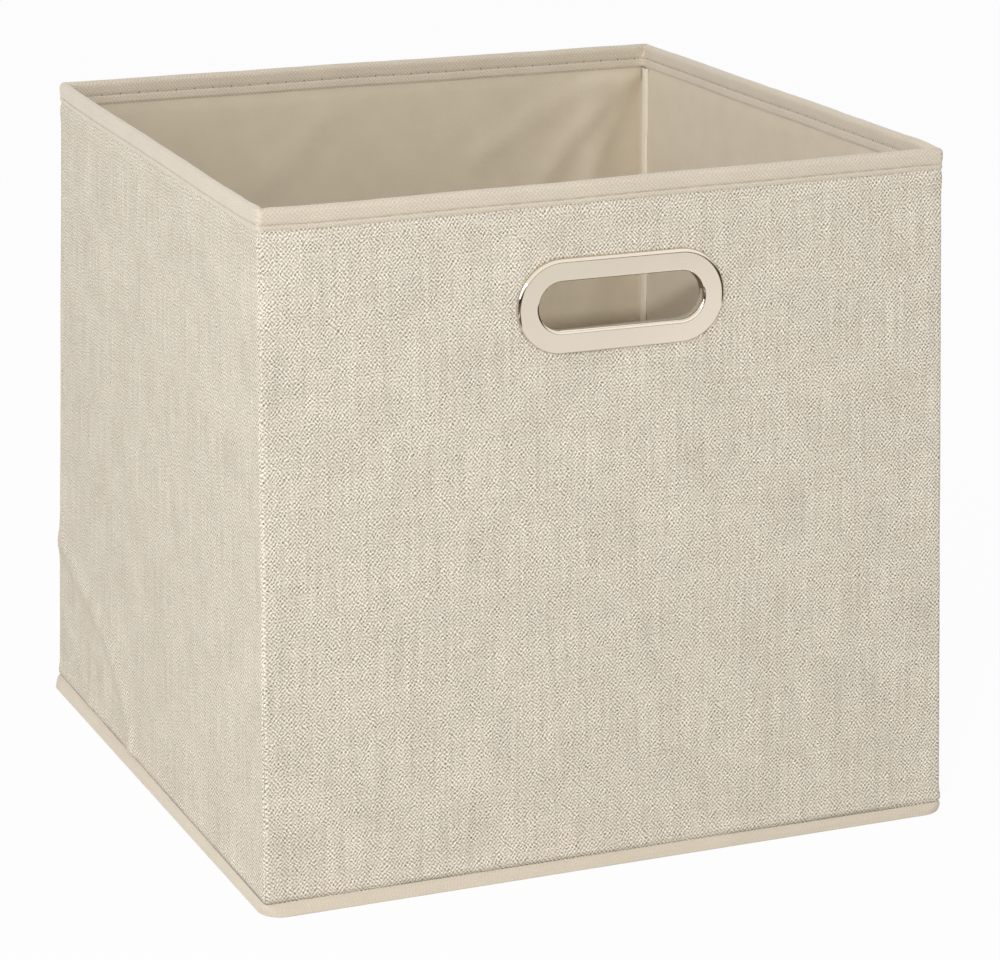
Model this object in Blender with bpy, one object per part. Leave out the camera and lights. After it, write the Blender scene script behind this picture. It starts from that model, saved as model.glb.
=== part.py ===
"""Open storage basket of sewn cloth walls over boards.

Four walls, each a woven cover, a stiff board and a lining, meet in bound seams
at the corners. A folded tape closes the rim, another the hem that the basket
stands on. The front wall has an oval hand hole set in metal, and a loose base
board lies on the cloth bottom. Metres, +Z up, origin on the floor under the
middle of the basket, hand hole in the wall that faces -Y.
"""

import math

import bmesh
import bpy
from mathutils import Vector

for old in list(bpy.data.objects):
    bpy.data.objects.remove(old, do_unlink=True)

# Whole basket
HEIGHT = 0.3025
RIM_WIDTH = 0.311
HEM_SPREAD = 0.0194

# Cloth, tape and board
COVER_THICKNESS = 0.0004
LINING_THICKNESS = 0.0003
TAPE_THICKNESS = 0.0004
BOARD_THICKNESS = 0.0015
PANEL_THICKNESS = 0.0004
LAYER_GAP = 0.00025

# Corners of the walls, over the covers
RIM_CORNER_RADIUS = 0.0032
HEM_CORNER_RADIUS = 0.006
HEM_CORNER_ROLL = 0.006
LEAST_RADIUS = 0.0005
LEAST_ARC_SHARE = 1.2
CORNER_STEPS = 5

# Rim tape, folded over the top edge of the walls
RIM_OUTER_LEG = 0.0088
RIM_INNER_LEG = 0.0112
FOLD_STEPS = 8

# Hem: the walls' lower edges and the bottom's turned-down edge in one tape
HEM_HEIGHT = 0.0052
HEM_FLARE = 0.0022
HEM_FOLD_SHARE = 0.3
HEM_FOLD_STEPS = 4
PANEL_BEND_RADIUS = 0.001
LINING_JOG_SLOPE_SHARE = 1.4

# Bound seams inside the corners
SEAM_SPACE = 0.0003
SEAM_BINDING_LEG = 0.00175
SEAM_FOLD_STEPS = 6

# Loose base board in its cloth case
INSERT_BOARD_THICKNESS = 0.002
INSERT_CLOTH_THICKNESS = 0.0004
INSERT_TAPE_THICKNESS = 0.0004
INSERT_TAPE_LEG = 0.008
INSERT_SEWN_SHARE = 0.75
INSERT_CLEARANCE = 0.0012
INSERT_REST_GAP = 0.0003

# Metal oval in the front wall
HANDLE_DROP = 0.0507
HANDLE_SIDE_SHIFT = 0.0028
HOLE_WIDTH = 0.0759
HOLE_HEIGHT = 0.0214
METAL_THICKNESS = 0.0005
FACE_BAND = 0.0093
FACE_PROUD = 0.0018
FACE_OUTER_BEND = 0.0015
FACE_INNER_BEND = 0.0008
BARREL_CLEARANCE = 0.0003
WASHER_THICKNESS = 0.0008
WASHER_BAND = 0.0065
WASHER_CHAMFER = 0.0003
LIP_INNER_BEND = 0.0006
LIP_LENGTH = 0.0015
CUT_OVERRUN = 0.004
OVAL_STEPS = 14
BEND_STEPS = 4

ROOT_TWO = math.sqrt(2.0)

# Depths of the layers, measured inwards from the covers' outer face
BOARD_DEPTH = COVER_THICKNESS + LAYER_GAP
LINING_DEPTH = BOARD_DEPTH + BOARD_THICKNESS + LAYER_GAP
LINING_FACE = LINING_DEPTH + LINING_THICKNESS
TAPE_STAND_OFF = TAPE_THICKNESS + LAYER_GAP

# The covers' half widths in plan, before the hem's flare
HEM_WIDTH = RIM_WIDTH + HEM_SPREAD
COVER_HALF_RIM = RIM_WIDTH / 2 - TAPE_STAND_OFF
COVER_HALF_FLOOR = HEM_WIDTH / 2 - TAPE_STAND_OFF - HEM_FLARE

# Rim: the tape is a U upside down, half round at the top
RIM_INNER_DEPTH = LINING_FACE + TAPE_STAND_OFF
RIM_FOLD_RADIUS = (RIM_INNER_DEPTH + TAPE_STAND_OFF) / 2
RIM_FOLD_DEPTH = RIM_INNER_DEPTH - RIM_FOLD_RADIUS
RIM_FOLD_HEIGHT = HEIGHT - RIM_FOLD_RADIUS
CLOTH_TOP = RIM_FOLD_HEIGHT
BOARD_OFF_CENTRE = max(RIM_FOLD_DEPTH - BOARD_DEPTH, BOARD_DEPTH + BOARD_THICKNESS - RIM_FOLD_DEPTH)
BOARD_FOLD_ROOM = RIM_FOLD_RADIUS - TAPE_STAND_OFF
BOARD_TOP = RIM_FOLD_HEIGHT + math.sqrt(BOARD_FOLD_ROOM ** 2 - BOARD_OFF_CENTRE ** 2)

# Hem: cover, lining and the bottom's flange stand in a U of tape
HEM_LINING_DEPTH = COVER_THICKNESS + LAYER_GAP
FLANGE_DEPTH = HEM_LINING_DEPTH + LINING_THICKNESS + LAYER_GAP
FLANGE_FACE = FLANGE_DEPTH + PANEL_THICKNESS
HEM_INNER_DEPTH = FLANGE_FACE + TAPE_STAND_OFF
HEM_FOLD_RADIUS = TAPE_THICKNESS + (HEM_INNER_DEPTH - TAPE_THICKNESS) * HEM_FOLD_SHARE
CLOTH_BOTTOM = HEM_FOLD_RADIUS
PANEL_BOTTOM = HEM_HEIGHT
PANEL_TOP = PANEL_BOTTOM + PANEL_THICKNESS
JOG_BOTTOM = PANEL_TOP + LAYER_GAP
JOG_TOP = JOG_BOTTOM + (LINING_DEPTH - HEM_LINING_DEPTH) * LINING_JOG_SLOPE_SHARE
BOARD_BOTTOM = JOG_TOP + LAYER_GAP

# Corner seams: distances to the side of the corner's diagonal, and along it
COVER_SETBACK = SEAM_SPACE / 2
LINING_SETBACK = COVER_SETBACK + COVER_THICKNESS + LAYER_GAP
SEAM_TAPE_INNER = LINING_SETBACK + LINING_THICKNESS + LAYER_GAP
SEAM_TAPE_OUTER = SEAM_TAPE_INNER + TAPE_THICKNESS
SEAM_FOOT = LINING_FACE * ROOT_TWO + SEAM_TAPE_OUTER + LAYER_GAP * ROOT_TWO
SEAM_ALLOWANCE_END = SEAM_FOOT + SEAM_BINDING_LEG
SEAM_TIP = SEAM_ALLOWANCE_END + SEAM_TAPE_OUTER
SEAM_BOTTOM = JOG_TOP
SEAM_TOP = HEIGHT - RIM_INNER_LEG - LAYER_GAP
BOARD_END_INSET = BOARD_DEPTH + BOARD_THICKNESS + (COVER_SETBACK + COVER_THICKNESS) * ROOT_TWO


def half_width(z):
    """Half the plan width over the covers at height z, the hem's flare included."""
    lean = COVER_HALF_FLOOR + (COVER_HALF_RIM - COVER_HALF_FLOOR) * z / HEIGHT
    return lean + HEM_FLARE * max(0.0, 1.0 - z / HEM_HEIGHT)


def corner_radius(z):
    """Radius of the covers' corners at height z, rounder where the hem rolls under."""
    taper = HEM_CORNER_RADIUS + (RIM_CORNER_RADIUS - HEM_CORNER_RADIUS) * z / HEIGHT
    return taper + HEM_CORNER_ROLL * max(0.0, 1.0 - z / HEM_HEIGHT)


# Base board: as wide as the rim lets through, its corners clear of the seams
INSERT_HALF = half_width(HEIGHT) - RIM_INNER_DEPTH - INSERT_CLEARANCE
SEAM_TIP_DISTANCE = half_width(SEAM_TOP) * ROOT_TWO - SEAM_TIP
INSERT_CORNER_NEED = (INSERT_HALF * ROOT_TWO + INSERT_CLEARANCE - SEAM_TIP_DISTANCE) / (ROOT_TWO - 1)
INSERT_STAND_OFF = INSERT_TAPE_THICKNESS + LAYER_GAP
INSERT_STACK = INSERT_BOARD_THICKNESS + 2 * (INSERT_CLOTH_THICKNESS + LAYER_GAP)
INSERT_THICKNESS = INSERT_STACK + 2 * INSERT_STAND_OFF
INSERT_FOLD_RADIUS = INSERT_THICKNESS / 2
INSERT_CORNER_RADIUS = max(INSERT_CORNER_NEED, INSERT_FOLD_RADIUS + LEAST_RADIUS)
INSERT_BOTTOM = PANEL_TOP + INSERT_REST_GAP
INSERT_BOARD_BOTTOM = INSERT_STAND_OFF + INSERT_CLOTH_THICKNESS + LAYER_GAP
INSERT_FOLD_ROOM = INSERT_FOLD_RADIUS - INSERT_STAND_OFF
INSERT_FIELD_EDGE = INSERT_TAPE_LEG + LAYER_GAP
INSERT_BOARD_EDGE = INSERT_FOLD_RADIUS - math.sqrt(INSERT_FOLD_ROOM ** 2 - (INSERT_BOARD_THICKNESS / 2) ** 2)

# Hand hole: radii are measured from the oval's straight middle line
HANDLE_HEIGHT = HEIGHT - HANDLE_DROP
HOLE_RADIUS = HOLE_HEIGHT / 2
OVAL_HALF_RUN = (HOLE_WIDTH - HOLE_HEIGHT) / 2
FACE_RADIUS = HOLE_RADIUS + FACE_BAND
BARREL_RADIUS = HOLE_RADIUS + METAL_THICKNESS
CUT_RADIUS = BARREL_RADIUS + BARREL_CLEARANCE
WASHER_DEPTH = LINING_FACE + LAYER_GAP
WASHER_RADIUS = BARREL_RADIUS + LIP_INNER_BEND
LIP_DEPTH = WASHER_DEPTH + WASHER_THICKNESS + LAYER_GAP
WALL_LEAN = math.atan((COVER_HALF_FLOOR - COVER_HALF_RIM) / HEIGHT)

# Colours as linear values, with a roughness and a metallic value
COVER_FINISH = ((0.60, 0.545, 0.45), 0.95, 0.0)
LINING_FINISH = ((0.47, 0.40, 0.30), 0.9, 0.0)
TAPE_FINISH = ((0.60, 0.53, 0.43), 0.85, 0.0)
BOARD_FINISH = ((0.34, 0.30, 0.24), 0.95, 0.0)
METAL_FINISH = ((0.75, 0.71, 0.64), 0.18, 1.0)

# Walls and corners in the order that quarter turns carry the first to the others
WALLS = ("front", "right", "back", "left")
CORNERS = ("front_left", "front_right", "back_right", "back_left")
SMOOTH_ANGLE = math.radians(32)


def finish(obj, look):
    """Give an object its own material and smooth shading between its sharp edges."""
    colour, roughness, metallic = look
    material = bpy.data.materials.new(obj.name + "_finish")
    material.use_nodes = True
    shader = material.node_tree.nodes["Principled BSDF"]
    shader.inputs["Base Color"].default_value = (*colour, 1.0)
    shader.inputs["Roughness"].default_value = roughness
    shader.inputs["Metallic"].default_value = metallic
    obj.data.materials.clear()
    obj.data.materials.append(material)
    obj.data.shade_smooth()
    obj.data.set_sharp_from_angle(angle=SMOOTH_ANGLE)


def solid(name, vertices, faces, look):
    """Make an object from a closed set of faces that point outwards, without loose points."""
    mesh = bpy.data.meshes.new(name)
    mesh.from_pydata([tuple(point) for point in vertices], [], faces)
    shape = bmesh.new()
    shape.from_mesh(mesh)
    loose = [vertex for vertex in shape.verts if not vertex.link_faces]
    bmesh.ops.delete(shape, geom=loose, context="VERTS")
    bmesh.ops.recalc_face_normals(shape, faces=shape.faces)
    if shape.calc_volume(signed=True) < 0.0:
        bmesh.ops.reverse_faces(shape, faces=shape.faces)
    shape.to_mesh(mesh)
    shape.free()
    obj = bpy.data.objects.new(name, mesh)
    bpy.context.collection.objects.link(obj)
    finish(obj, look)
    return obj


def arc(centre, radius, start, stop, steps):
    """Points of an arc in a section, its angles in degrees from the first axis."""
    points = []
    for step in range(steps + 1):
        angle = math.radians(start + (stop - start) * step / steps)
        points.append((centre[0] + radius * math.cos(angle), centre[1] + radius * math.sin(angle)))
    return points


def loft(name, outlines, look, ring=True):
    """Skin equal outlines one after another, back to the first or capped at the ends."""
    count = len(outlines[0])
    vertices = [point for outline in outlines for point in outline]
    faces = []
    for level in range(len(outlines) if ring else len(outlines) - 1):
        low = level * count
        high = (level + 1) % len(outlines) * count
        for index in range(count):
            after = (index + 1) % count
            faces.append((low + index, low + after, high + after, high + index))
    if not ring:
        last = (len(outlines) - 1) * count
        faces.append(tuple(range(count)))
        faces.append(tuple(range(last, last + count)))
    return solid(name, vertices, faces, look)


def square_outline(half, radius, z):
    """A square with round corners, seen in plan."""
    centre = half - radius
    points = []
    for quarter in range(4):
        turn = quarter * 90
        side = (math.cos(math.radians(turn + 45)), math.sin(math.radians(turn + 45)))
        corner = (centre * ROOT_TWO * side[0], centre * ROOT_TWO * side[1])
        for x, y in arc(corner, radius, turn, turn + 90, CORNER_STEPS):
            points.append(Vector((x, y, z)))
    return points


def wall_outline(depth, z):
    """The outline that lies a depth inside the covers' outer face at height z."""
    return square_outline(half_width(z) - depth, max(corner_radius(z) - depth, LEAST_RADIUS), z)


def insert_outline(depth, height):
    """The outline that lies a depth inside the base board's edge, above its underside."""
    return square_outline(INSERT_HALF - depth, INSERT_CORNER_RADIUS - depth, INSERT_BOTTOM + height)


def seam_point(z, along, side):
    """A point at the front left seam: along the corner's diagonal and to its front side."""
    corner = -half_width(z)
    return Vector((corner + (along + side) / ROOT_TWO, corner + (along - side) / ROOT_TWO, z))


def wall_face(z, depth, setback):
    """One face of a front wall sheet in plan, with the seam allowance at both ends."""
    radius = max(corner_radius(z) - depth, setback * ROOT_TWO * LEAST_ARC_SHARE)
    centre = depth + radius - half_width(z)
    start = 225 + math.degrees(math.asin(setback / radius))
    left = [seam_point(z, SEAM_ALLOWANCE_END, setback)]
    for x, y in arc((centre, centre), radius, start, 270, CORNER_STEPS):
        left.append(Vector((x, y, z)))
    right = [Vector((-point.x, point.y, point.z)) for point in reversed(left)]
    return left + right


def wall_sheet(name, levels, thickness, setback, look):
    """A front wall sheet that follows (height, depth) levels, its seam allowance
    turned inwards at both corners between the seam's two ends."""
    columns = 2 * (CORNER_STEPS + 2)
    vertices = []
    for z, depth in levels:
        outer = wall_face(z, depth, setback)
        inner = wall_face(z, depth + thickness, setback + thickness)
        for pair in zip(outer, inner):
            vertices.extend(pair)

    def at(level, column, side):
        return (level * columns + column) * 2 + side

    uses = {}
    for low in range(len(levels) - 1):
        in_seam = levels[low][0] >= SEAM_BOTTOM and levels[low + 1][0] <= SEAM_TOP
        first = 0 if in_seam else 1
        for left in range(first, columns - 1 - first):
            high, right = low + 1, left + 1
            block = [
                [at(low, left, 0), at(low, right, 0), at(high, right, 0), at(high, left, 0)],
                [at(low, left, 1), at(low, right, 1), at(high, right, 1), at(high, left, 1)],
                [at(low, left, 0), at(low, right, 0), at(low, right, 1), at(low, left, 1)],
                [at(high, left, 0), at(high, right, 0), at(high, right, 1), at(high, left, 1)],
                [at(low, left, 0), at(high, left, 0), at(high, left, 1), at(low, left, 1)],
                [at(low, right, 0), at(high, right, 0), at(high, right, 1), at(low, right, 1)],
            ]
            for face in block:
                uses.setdefault(frozenset(face), []).append(face)
    skin = [found[0] for found in uses.values() if len(found) == 1]
    return solid(name, vertices, skin, look)


def cover(name):
    """Woven outer sheet of a wall, down into the hem and up under the rim tape."""
    levels = [(z, 0.0) for z in (CLOTH_BOTTOM, HEM_HEIGHT, SEAM_BOTTOM, SEAM_TOP, CLOTH_TOP)]
    return wall_sheet(name, levels, COVER_THICKNESS, COVER_SETBACK, COVER_FINISH)


def lining(name):
    """Inner sheet of a wall, which steps outwards under the board into the hem."""
    levels = [(z, HEM_LINING_DEPTH) for z in (CLOTH_BOTTOM, HEM_HEIGHT, JOG_BOTTOM)]
    levels += [(z, LINING_DEPTH) for z in (JOG_TOP, SEAM_TOP, CLOTH_TOP)]
    return wall_sheet(name, levels, LINING_THICKNESS, LINING_SETBACK, LINING_FINISH)


def board(name):
    """Stiff board of a wall, square cut and short of the seams."""
    outlines = []
    for z in (BOARD_BOTTOM, BOARD_TOP):
        end = half_width(z) - max(corner_radius(z), BOARD_END_INSET) - LAYER_GAP
        outer = BOARD_DEPTH - half_width(z)
        inner = outer + BOARD_THICKNESS
        corners = ((-end, outer), (end, outer), (end, inner), (-end, inner))
        outlines.append([Vector((x, y, z)) for x, y in corners])
    return loft(name, outlines, BOARD_FINISH, ring=False)


def seam_binding(name):
    """Tape folded round the seam allowances in the front left corner."""
    section = [(SEAM_FOOT, SEAM_TAPE_OUTER)]
    section += arc((SEAM_ALLOWANCE_END, 0.0), SEAM_TAPE_OUTER, 90, -90, SEAM_FOLD_STEPS)
    section += [(SEAM_FOOT, -SEAM_TAPE_OUTER), (SEAM_FOOT, -SEAM_TAPE_INNER)]
    section += arc((SEAM_ALLOWANCE_END, 0.0), SEAM_TAPE_INNER, -90, 90, SEAM_FOLD_STEPS)
    section += [(SEAM_FOOT, SEAM_TAPE_INNER)]
    outlines = [[seam_point(z, along, side) for along, side in section] for z in (SEAM_BOTTOM, SEAM_TOP)]
    return loft(name, outlines, TAPE_FINISH, ring=False)


def rim_binding():
    """Tape folded over the top edge of all four walls."""
    fold = (RIM_FOLD_DEPTH, RIM_FOLD_HEIGHT)
    profile = [(-TAPE_STAND_OFF, HEIGHT - RIM_OUTER_LEG)]
    profile += arc(fold, RIM_FOLD_RADIUS, 180, 0, FOLD_STEPS)
    profile += [(RIM_INNER_DEPTH, HEIGHT - RIM_INNER_LEG)]
    profile += [(RIM_INNER_DEPTH - TAPE_THICKNESS, HEIGHT - RIM_INNER_LEG)]
    profile += arc(fold, RIM_FOLD_RADIUS - TAPE_THICKNESS, 0, 180, FOLD_STEPS)
    profile += [(-LAYER_GAP, HEIGHT - RIM_OUTER_LEG)]
    return loft("rim_binding", [wall_outline(depth, z) for depth, z in profile], TAPE_FINISH)


def bottom_binding():
    """Tape folded under the hem, flat where the basket stands on it."""
    outer_fold = (HEM_FOLD_RADIUS - TAPE_STAND_OFF, HEM_FOLD_RADIUS)
    inner_fold = (HEM_INNER_DEPTH - HEM_FOLD_RADIUS, HEM_FOLD_RADIUS)
    inner_radius = HEM_FOLD_RADIUS - TAPE_THICKNESS
    inner_top = PANEL_BOTTOM - LAYER_GAP
    profile = [(-TAPE_STAND_OFF, HEM_HEIGHT)]
    profile += arc(outer_fold, HEM_FOLD_RADIUS, 180, 270, HEM_FOLD_STEPS)
    profile += arc(inner_fold, HEM_FOLD_RADIUS, 270, 360, HEM_FOLD_STEPS)
    profile += [(HEM_INNER_DEPTH, inner_top), (HEM_INNER_DEPTH - TAPE_THICKNESS, inner_top)]
    profile += arc(inner_fold, inner_radius, 360, 270, HEM_FOLD_STEPS)
    profile += arc(outer_fold, inner_radius, 270, 180, HEM_FOLD_STEPS)
    profile += [(-LAYER_GAP, HEM_HEIGHT)]
    return loft("bottom_binding", [wall_outline(depth, z) for depth, z in profile], TAPE_FINISH)


def bottom_panel():
    """Cloth bottom, its edge turned down between the linings and the hem tape."""
    bend = (FLANGE_DEPTH + PANEL_BEND_RADIUS, PANEL_TOP - PANEL_BEND_RADIUS)
    profile = arc(bend, PANEL_BEND_RADIUS - PANEL_THICKNESS, 90, 180, BEND_STEPS)
    profile += [(FLANGE_FACE, CLOTH_BOTTOM), (FLANGE_DEPTH, CLOTH_BOTTOM)]
    profile += arc(bend, PANEL_BEND_RADIUS, 180, 90, BEND_STEPS)
    outlines = [wall_outline(depth, z) for depth, z in profile]
    return loft("bottom_panel", outlines, LINING_FINISH, ring=False)


def insert_board():
    """Greyboard of the base board."""
    heights = (INSERT_BOARD_BOTTOM, INSERT_BOARD_BOTTOM + INSERT_BOARD_THICKNESS)
    outlines = [insert_outline(INSERT_BOARD_EDGE, height) for height in heights]
    return loft("insert_board", outlines, BOARD_FINISH, ring=False)


def insert_cover(name, board_side, free_side):
    """Cloth on one side of the base board, pressed thinner where the tape is sewn on."""
    sewn_side = board_side + (free_side - board_side) * INSERT_SEWN_SHARE
    profile = [(INSERT_FOLD_RADIUS, board_side), (INSERT_FOLD_RADIUS, sewn_side)]
    profile += [(INSERT_FIELD_EDGE, sewn_side), (INSERT_FIELD_EDGE, free_side)]
    outlines = [insert_outline(depth, height) for depth, height in profile]
    return loft(name, outlines, LINING_FINISH, ring=False)


def insert_edge_binding():
    """Tape folded round the edge of the base board."""
    fold = (INSERT_FOLD_RADIUS, INSERT_FOLD_RADIUS)
    profile = [(INSERT_TAPE_LEG, 0.0)]
    profile += arc(fold, INSERT_FOLD_RADIUS, 270, 90, FOLD_STEPS)
    profile += [(INSERT_TAPE_LEG, INSERT_THICKNESS)]
    profile += [(INSERT_TAPE_LEG, INSERT_THICKNESS - INSERT_TAPE_THICKNESS)]
    profile += arc(fold, INSERT_FOLD_RADIUS - INSERT_TAPE_THICKNESS, 90, 270, FOLD_STEPS)
    profile += [(INSERT_TAPE_LEG, INSERT_TAPE_THICKNESS)]
    outlines = [insert_outline(depth, height) for depth, height in profile]
    return loft("insert_edge_binding", outlines, TAPE_FINISH)


def base_insert():
    """Loose base board: greyboard between two cloths, with a tape round the edge."""
    insert_board()
    low, high = INSERT_STAND_OFF, INSERT_THICKNESS - INSERT_STAND_OFF
    insert_cover("insert_bottom_cover", low + INSERT_CLOTH_THICKNESS, low)
    insert_cover("insert_top_cover", high - INSERT_CLOTH_THICKNESS, high)
    insert_edge_binding()


def oval_outline(radius, depth):
    """An oval with straight long sides, in the hand hole's own frame."""
    points = []
    for middle, start in ((OVAL_HALF_RUN, -90), (-OVAL_HALF_RUN, 90)):
        for x, z in arc((middle, 0.0), radius, start, start + 180, OVAL_STEPS):
            points.append(Vector((x, depth, z)))
    return points


def handle_ring(frame):
    """Pressed metal oval: rolled outer edge, flat face, barrel and clinched lip."""
    outer_bend = (FACE_RADIUS - FACE_OUTER_BEND, FACE_OUTER_BEND - FACE_PROUD)
    inner_bend = (HOLE_RADIUS + FACE_INNER_BEND, FACE_INNER_BEND - FACE_PROUD)
    lip_bend = (WASHER_RADIUS, LIP_DEPTH - LIP_INNER_BEND)
    lip_outer_bend = LIP_INNER_BEND + METAL_THICKNESS
    lip_end = WASHER_RADIUS + LIP_LENGTH
    profile = [(FACE_RADIUS, -LAYER_GAP)]
    profile += arc(outer_bend, FACE_OUTER_BEND, 0, -90, BEND_STEPS)
    profile += arc(inner_bend, FACE_INNER_BEND, 270, 180, BEND_STEPS)
    profile += arc(lip_bend, lip_outer_bend, 180, 90, BEND_STEPS)
    profile += [(lip_end, LIP_DEPTH + METAL_THICKNESS), (lip_end, LIP_DEPTH)]
    profile += arc(lip_bend, LIP_INNER_BEND, 90, 180, BEND_STEPS)
    profile += arc(inner_bend, FACE_INNER_BEND - METAL_THICKNESS, 180, 270, BEND_STEPS)
    profile += arc(outer_bend, FACE_OUTER_BEND - METAL_THICKNESS, -90, 0, BEND_STEPS)
    profile += [(FACE_RADIUS - METAL_THICKNESS, -LAYER_GAP)]
    ring = loft("handle_ring", [oval_outline(radius, depth) for radius, depth in profile], METAL_FINISH)
    ring.parent = frame
    return ring


def handle_washer(frame):
    """Flat oval plate inside the wall, held by the ring's clinched lip."""
    low, high = WASHER_DEPTH, WASHER_DEPTH + WASHER_THICKNESS
    outer = WASHER_RADIUS + WASHER_BAND
    profile = [(WASHER_RADIUS, low), (outer, low), (outer, high - WASHER_CHAMFER)]
    profile += [(outer - WASHER_CHAMFER, high), (WASHER_RADIUS, high)]
    washer = loft("handle_washer", [oval_outline(radius, depth) for radius, depth in profile], METAL_FINISH)
    washer.parent = frame
    return washer


def hand_hole_frame():
    """Empty on the front wall's outer face, leaning with the wall."""
    frame = bpy.data.objects.new("hand_hole_frame", None)
    bpy.context.collection.objects.link(frame)
    frame.location = (HANDLE_SIDE_SHIFT, -half_width(HANDLE_HEIGHT), HANDLE_HEIGHT)
    frame.rotation_euler = (-WALL_LEAN, 0.0, 0.0)
    return frame


def hand_hole_cutter(frame):
    """Oval that cuts the front wall's layers, hidden from view."""
    depths = (-CUT_OVERRUN, LINING_FACE + CUT_OVERRUN)
    outlines = [oval_outline(CUT_RADIUS, depth) for depth in depths]
    cutter = loft("hand_hole_cutter", outlines, BOARD_FINISH, ring=False)
    cutter.parent = frame
    cutter.hide_render = True
    cutter.display_type = "WIRE"
    return cutter


def cut_hand_hole(layer, cutter):
    """Cut the hand hole through one layer of the front wall."""
    hole = layer.modifiers.new("hand_hole", "BOOLEAN")
    hole.operation = "DIFFERENCE"
    hole.solver = "EXACT"
    hole.object = cutter


def turned(obj, quarter_turns):
    """Turn a piece about the basket's upright axis."""
    obj.rotation_euler = (0.0, 0.0, quarter_turns * math.pi / 2)
    return obj


def build():
    """Make every piece and put it in its place."""
    frame = hand_hole_frame()
    cutter = hand_hole_cutter(frame)
    for turns, wall in enumerate(WALLS):
        for layer, make in (("cover", cover), ("board", board), ("lining", lining)):
            piece = turned(make(f"{wall}_{layer}"), turns)
            if wall == "front":
                cut_hand_hole(piece, cutter)
    for turns, place in enumerate(CORNERS):
        turned(seam_binding(f"{place}_seam_binding"), turns)
    rim_binding()
    bottom_binding()
    bottom_panel()
    handle_ring(frame)
    handle_washer(frame)
    base_insert()


build()
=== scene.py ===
"""Looks of an open storage basket: woven covers, linings and tapes over boards.

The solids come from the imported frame. Every sewn cloth is made here as a thin
sheet in the place of its solid, with its folds, seams and stitches, and the
metal oval is made again with fine bends. Metres, +Z up, hand hole facing -Y.
"""

import math

import bmesh
import bpy
from mathutils import Matrix, Vector, noise


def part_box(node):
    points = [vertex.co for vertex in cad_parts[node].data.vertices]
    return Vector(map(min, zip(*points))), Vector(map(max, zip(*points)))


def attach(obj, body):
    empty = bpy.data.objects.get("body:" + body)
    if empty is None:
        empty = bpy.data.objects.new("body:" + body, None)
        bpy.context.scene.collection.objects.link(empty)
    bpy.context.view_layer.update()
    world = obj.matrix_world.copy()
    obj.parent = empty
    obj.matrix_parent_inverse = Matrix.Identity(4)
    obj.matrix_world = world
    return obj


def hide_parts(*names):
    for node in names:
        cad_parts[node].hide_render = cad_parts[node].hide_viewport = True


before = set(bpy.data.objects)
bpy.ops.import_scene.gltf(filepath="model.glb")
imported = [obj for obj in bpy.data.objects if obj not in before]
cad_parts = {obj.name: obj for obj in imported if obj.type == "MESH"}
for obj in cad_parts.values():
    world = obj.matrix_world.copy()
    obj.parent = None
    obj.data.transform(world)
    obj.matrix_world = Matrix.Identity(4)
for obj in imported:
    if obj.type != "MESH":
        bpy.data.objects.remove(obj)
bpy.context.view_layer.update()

MM = 0.001
ROOT_TWO = math.sqrt(2.0)
BASKET = "basket"
INSERT = "base_insert"
WALLS = ("front", "right", "back", "left")
CORNERS = ("front_left", "front_right", "back_right", "back_left")

# Basket, as its solids have it
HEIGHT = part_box("rim_binding")[1].z
COVER_HALF_FLOOR = 162.35 * MM
COVER_HALF_RIM = 154.85 * MM
RIM_CORNER_RADIUS = 1.4 * MM
HEM_CORNER_RADIUS = 1.6 * MM
HEM_CORNER_ROLL = 9.0 * MM
HEM_HEIGHT = 5.2 * MM
HEM_FLARE = 2.2 * MM
LEAST_RADIUS = 0.5 * MM

# How far the sewn corners stand off their solids, by the sides of X and Y that they are on
RIM_SHIFTS = {
    (-1, -1): (-1.8 * MM, 1.2 * MM, 0.5 * MM),
    (1, -1): (-0.4 * MM, -0.5 * MM, 3.8 * MM),
    (1, 1): (-0.5 * MM, -0.5 * MM, 1.9 * MM),
    (-1, 1): (1.9 * MM, -0.8 * MM, 2.4 * MM),
}
FOOT_SHIFTS = {
    (-1, -1): (0.3 * MM, 0.3 * MM, 0.0),
    (1, -1): (-1.7 * MM, 0.4 * MM, 0.0),
    (1, 1): (-3.2 * MM, 0.9 * MM, 0.0),
    (-1, 1): (0.4 * MM, -0.3 * MM, 0.0),
}
HEM_SHIFTS = {
    (-1, -1): (0.8 * MM, -1.7 * MM, 0.0),
    (1, -1): (-0.1 * MM, -0.1 * MM, 0.4 * MM),
    (1, 1): (0.0, 0.0, 0.0),
    (-1, 1): (-1.6 * MM, -0.3 * MM, 0.0),
}
FRONT_RIM_SAG = 0.7 * MM
LEFT_RIM_SAG = 0.9 * MM
SAG_RUN = 25.0 * MM

# Layers, measured inwards from the covers' outer face
COVER_THICKNESS = 0.4 * MM
LINING_THICKNESS = 0.3 * MM
TAPE_THICKNESS = 0.4 * MM
LAYER_GAP = 0.25 * MM
LINING_DEPTH = 2.4 * MM
HEM_LINING_DEPTH = COVER_THICKNESS + LAYER_GAP
TAPE_STAND_OFF = TAPE_THICKNESS + LAYER_GAP
CLOTH_BOTTOM = 0.955 * MM
CLOTH_TOP = 300.5 * MM
JOG_BOTTOM = 5.85 * MM
JOG_TOP = 8.3 * MM

# Rim tape
RIM_OUTER_LEG = 8.8 * MM
RIM_INNER_LEG = 11.2 * MM
RIM_STITCH_DROP = 6.5 * MM
RIM_FOLD_RADIUS = 2.0 * MM
RIM_FOLD_DEPTH = 1.35 * MM
RIM_STITCHES = 129
RIM_EDGE_RUN = 1.2 * MM
RIM_SEAM_RIDGE = 0.9 * MM
RIM_SEAM_CREASE = 0.9 * MM

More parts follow.
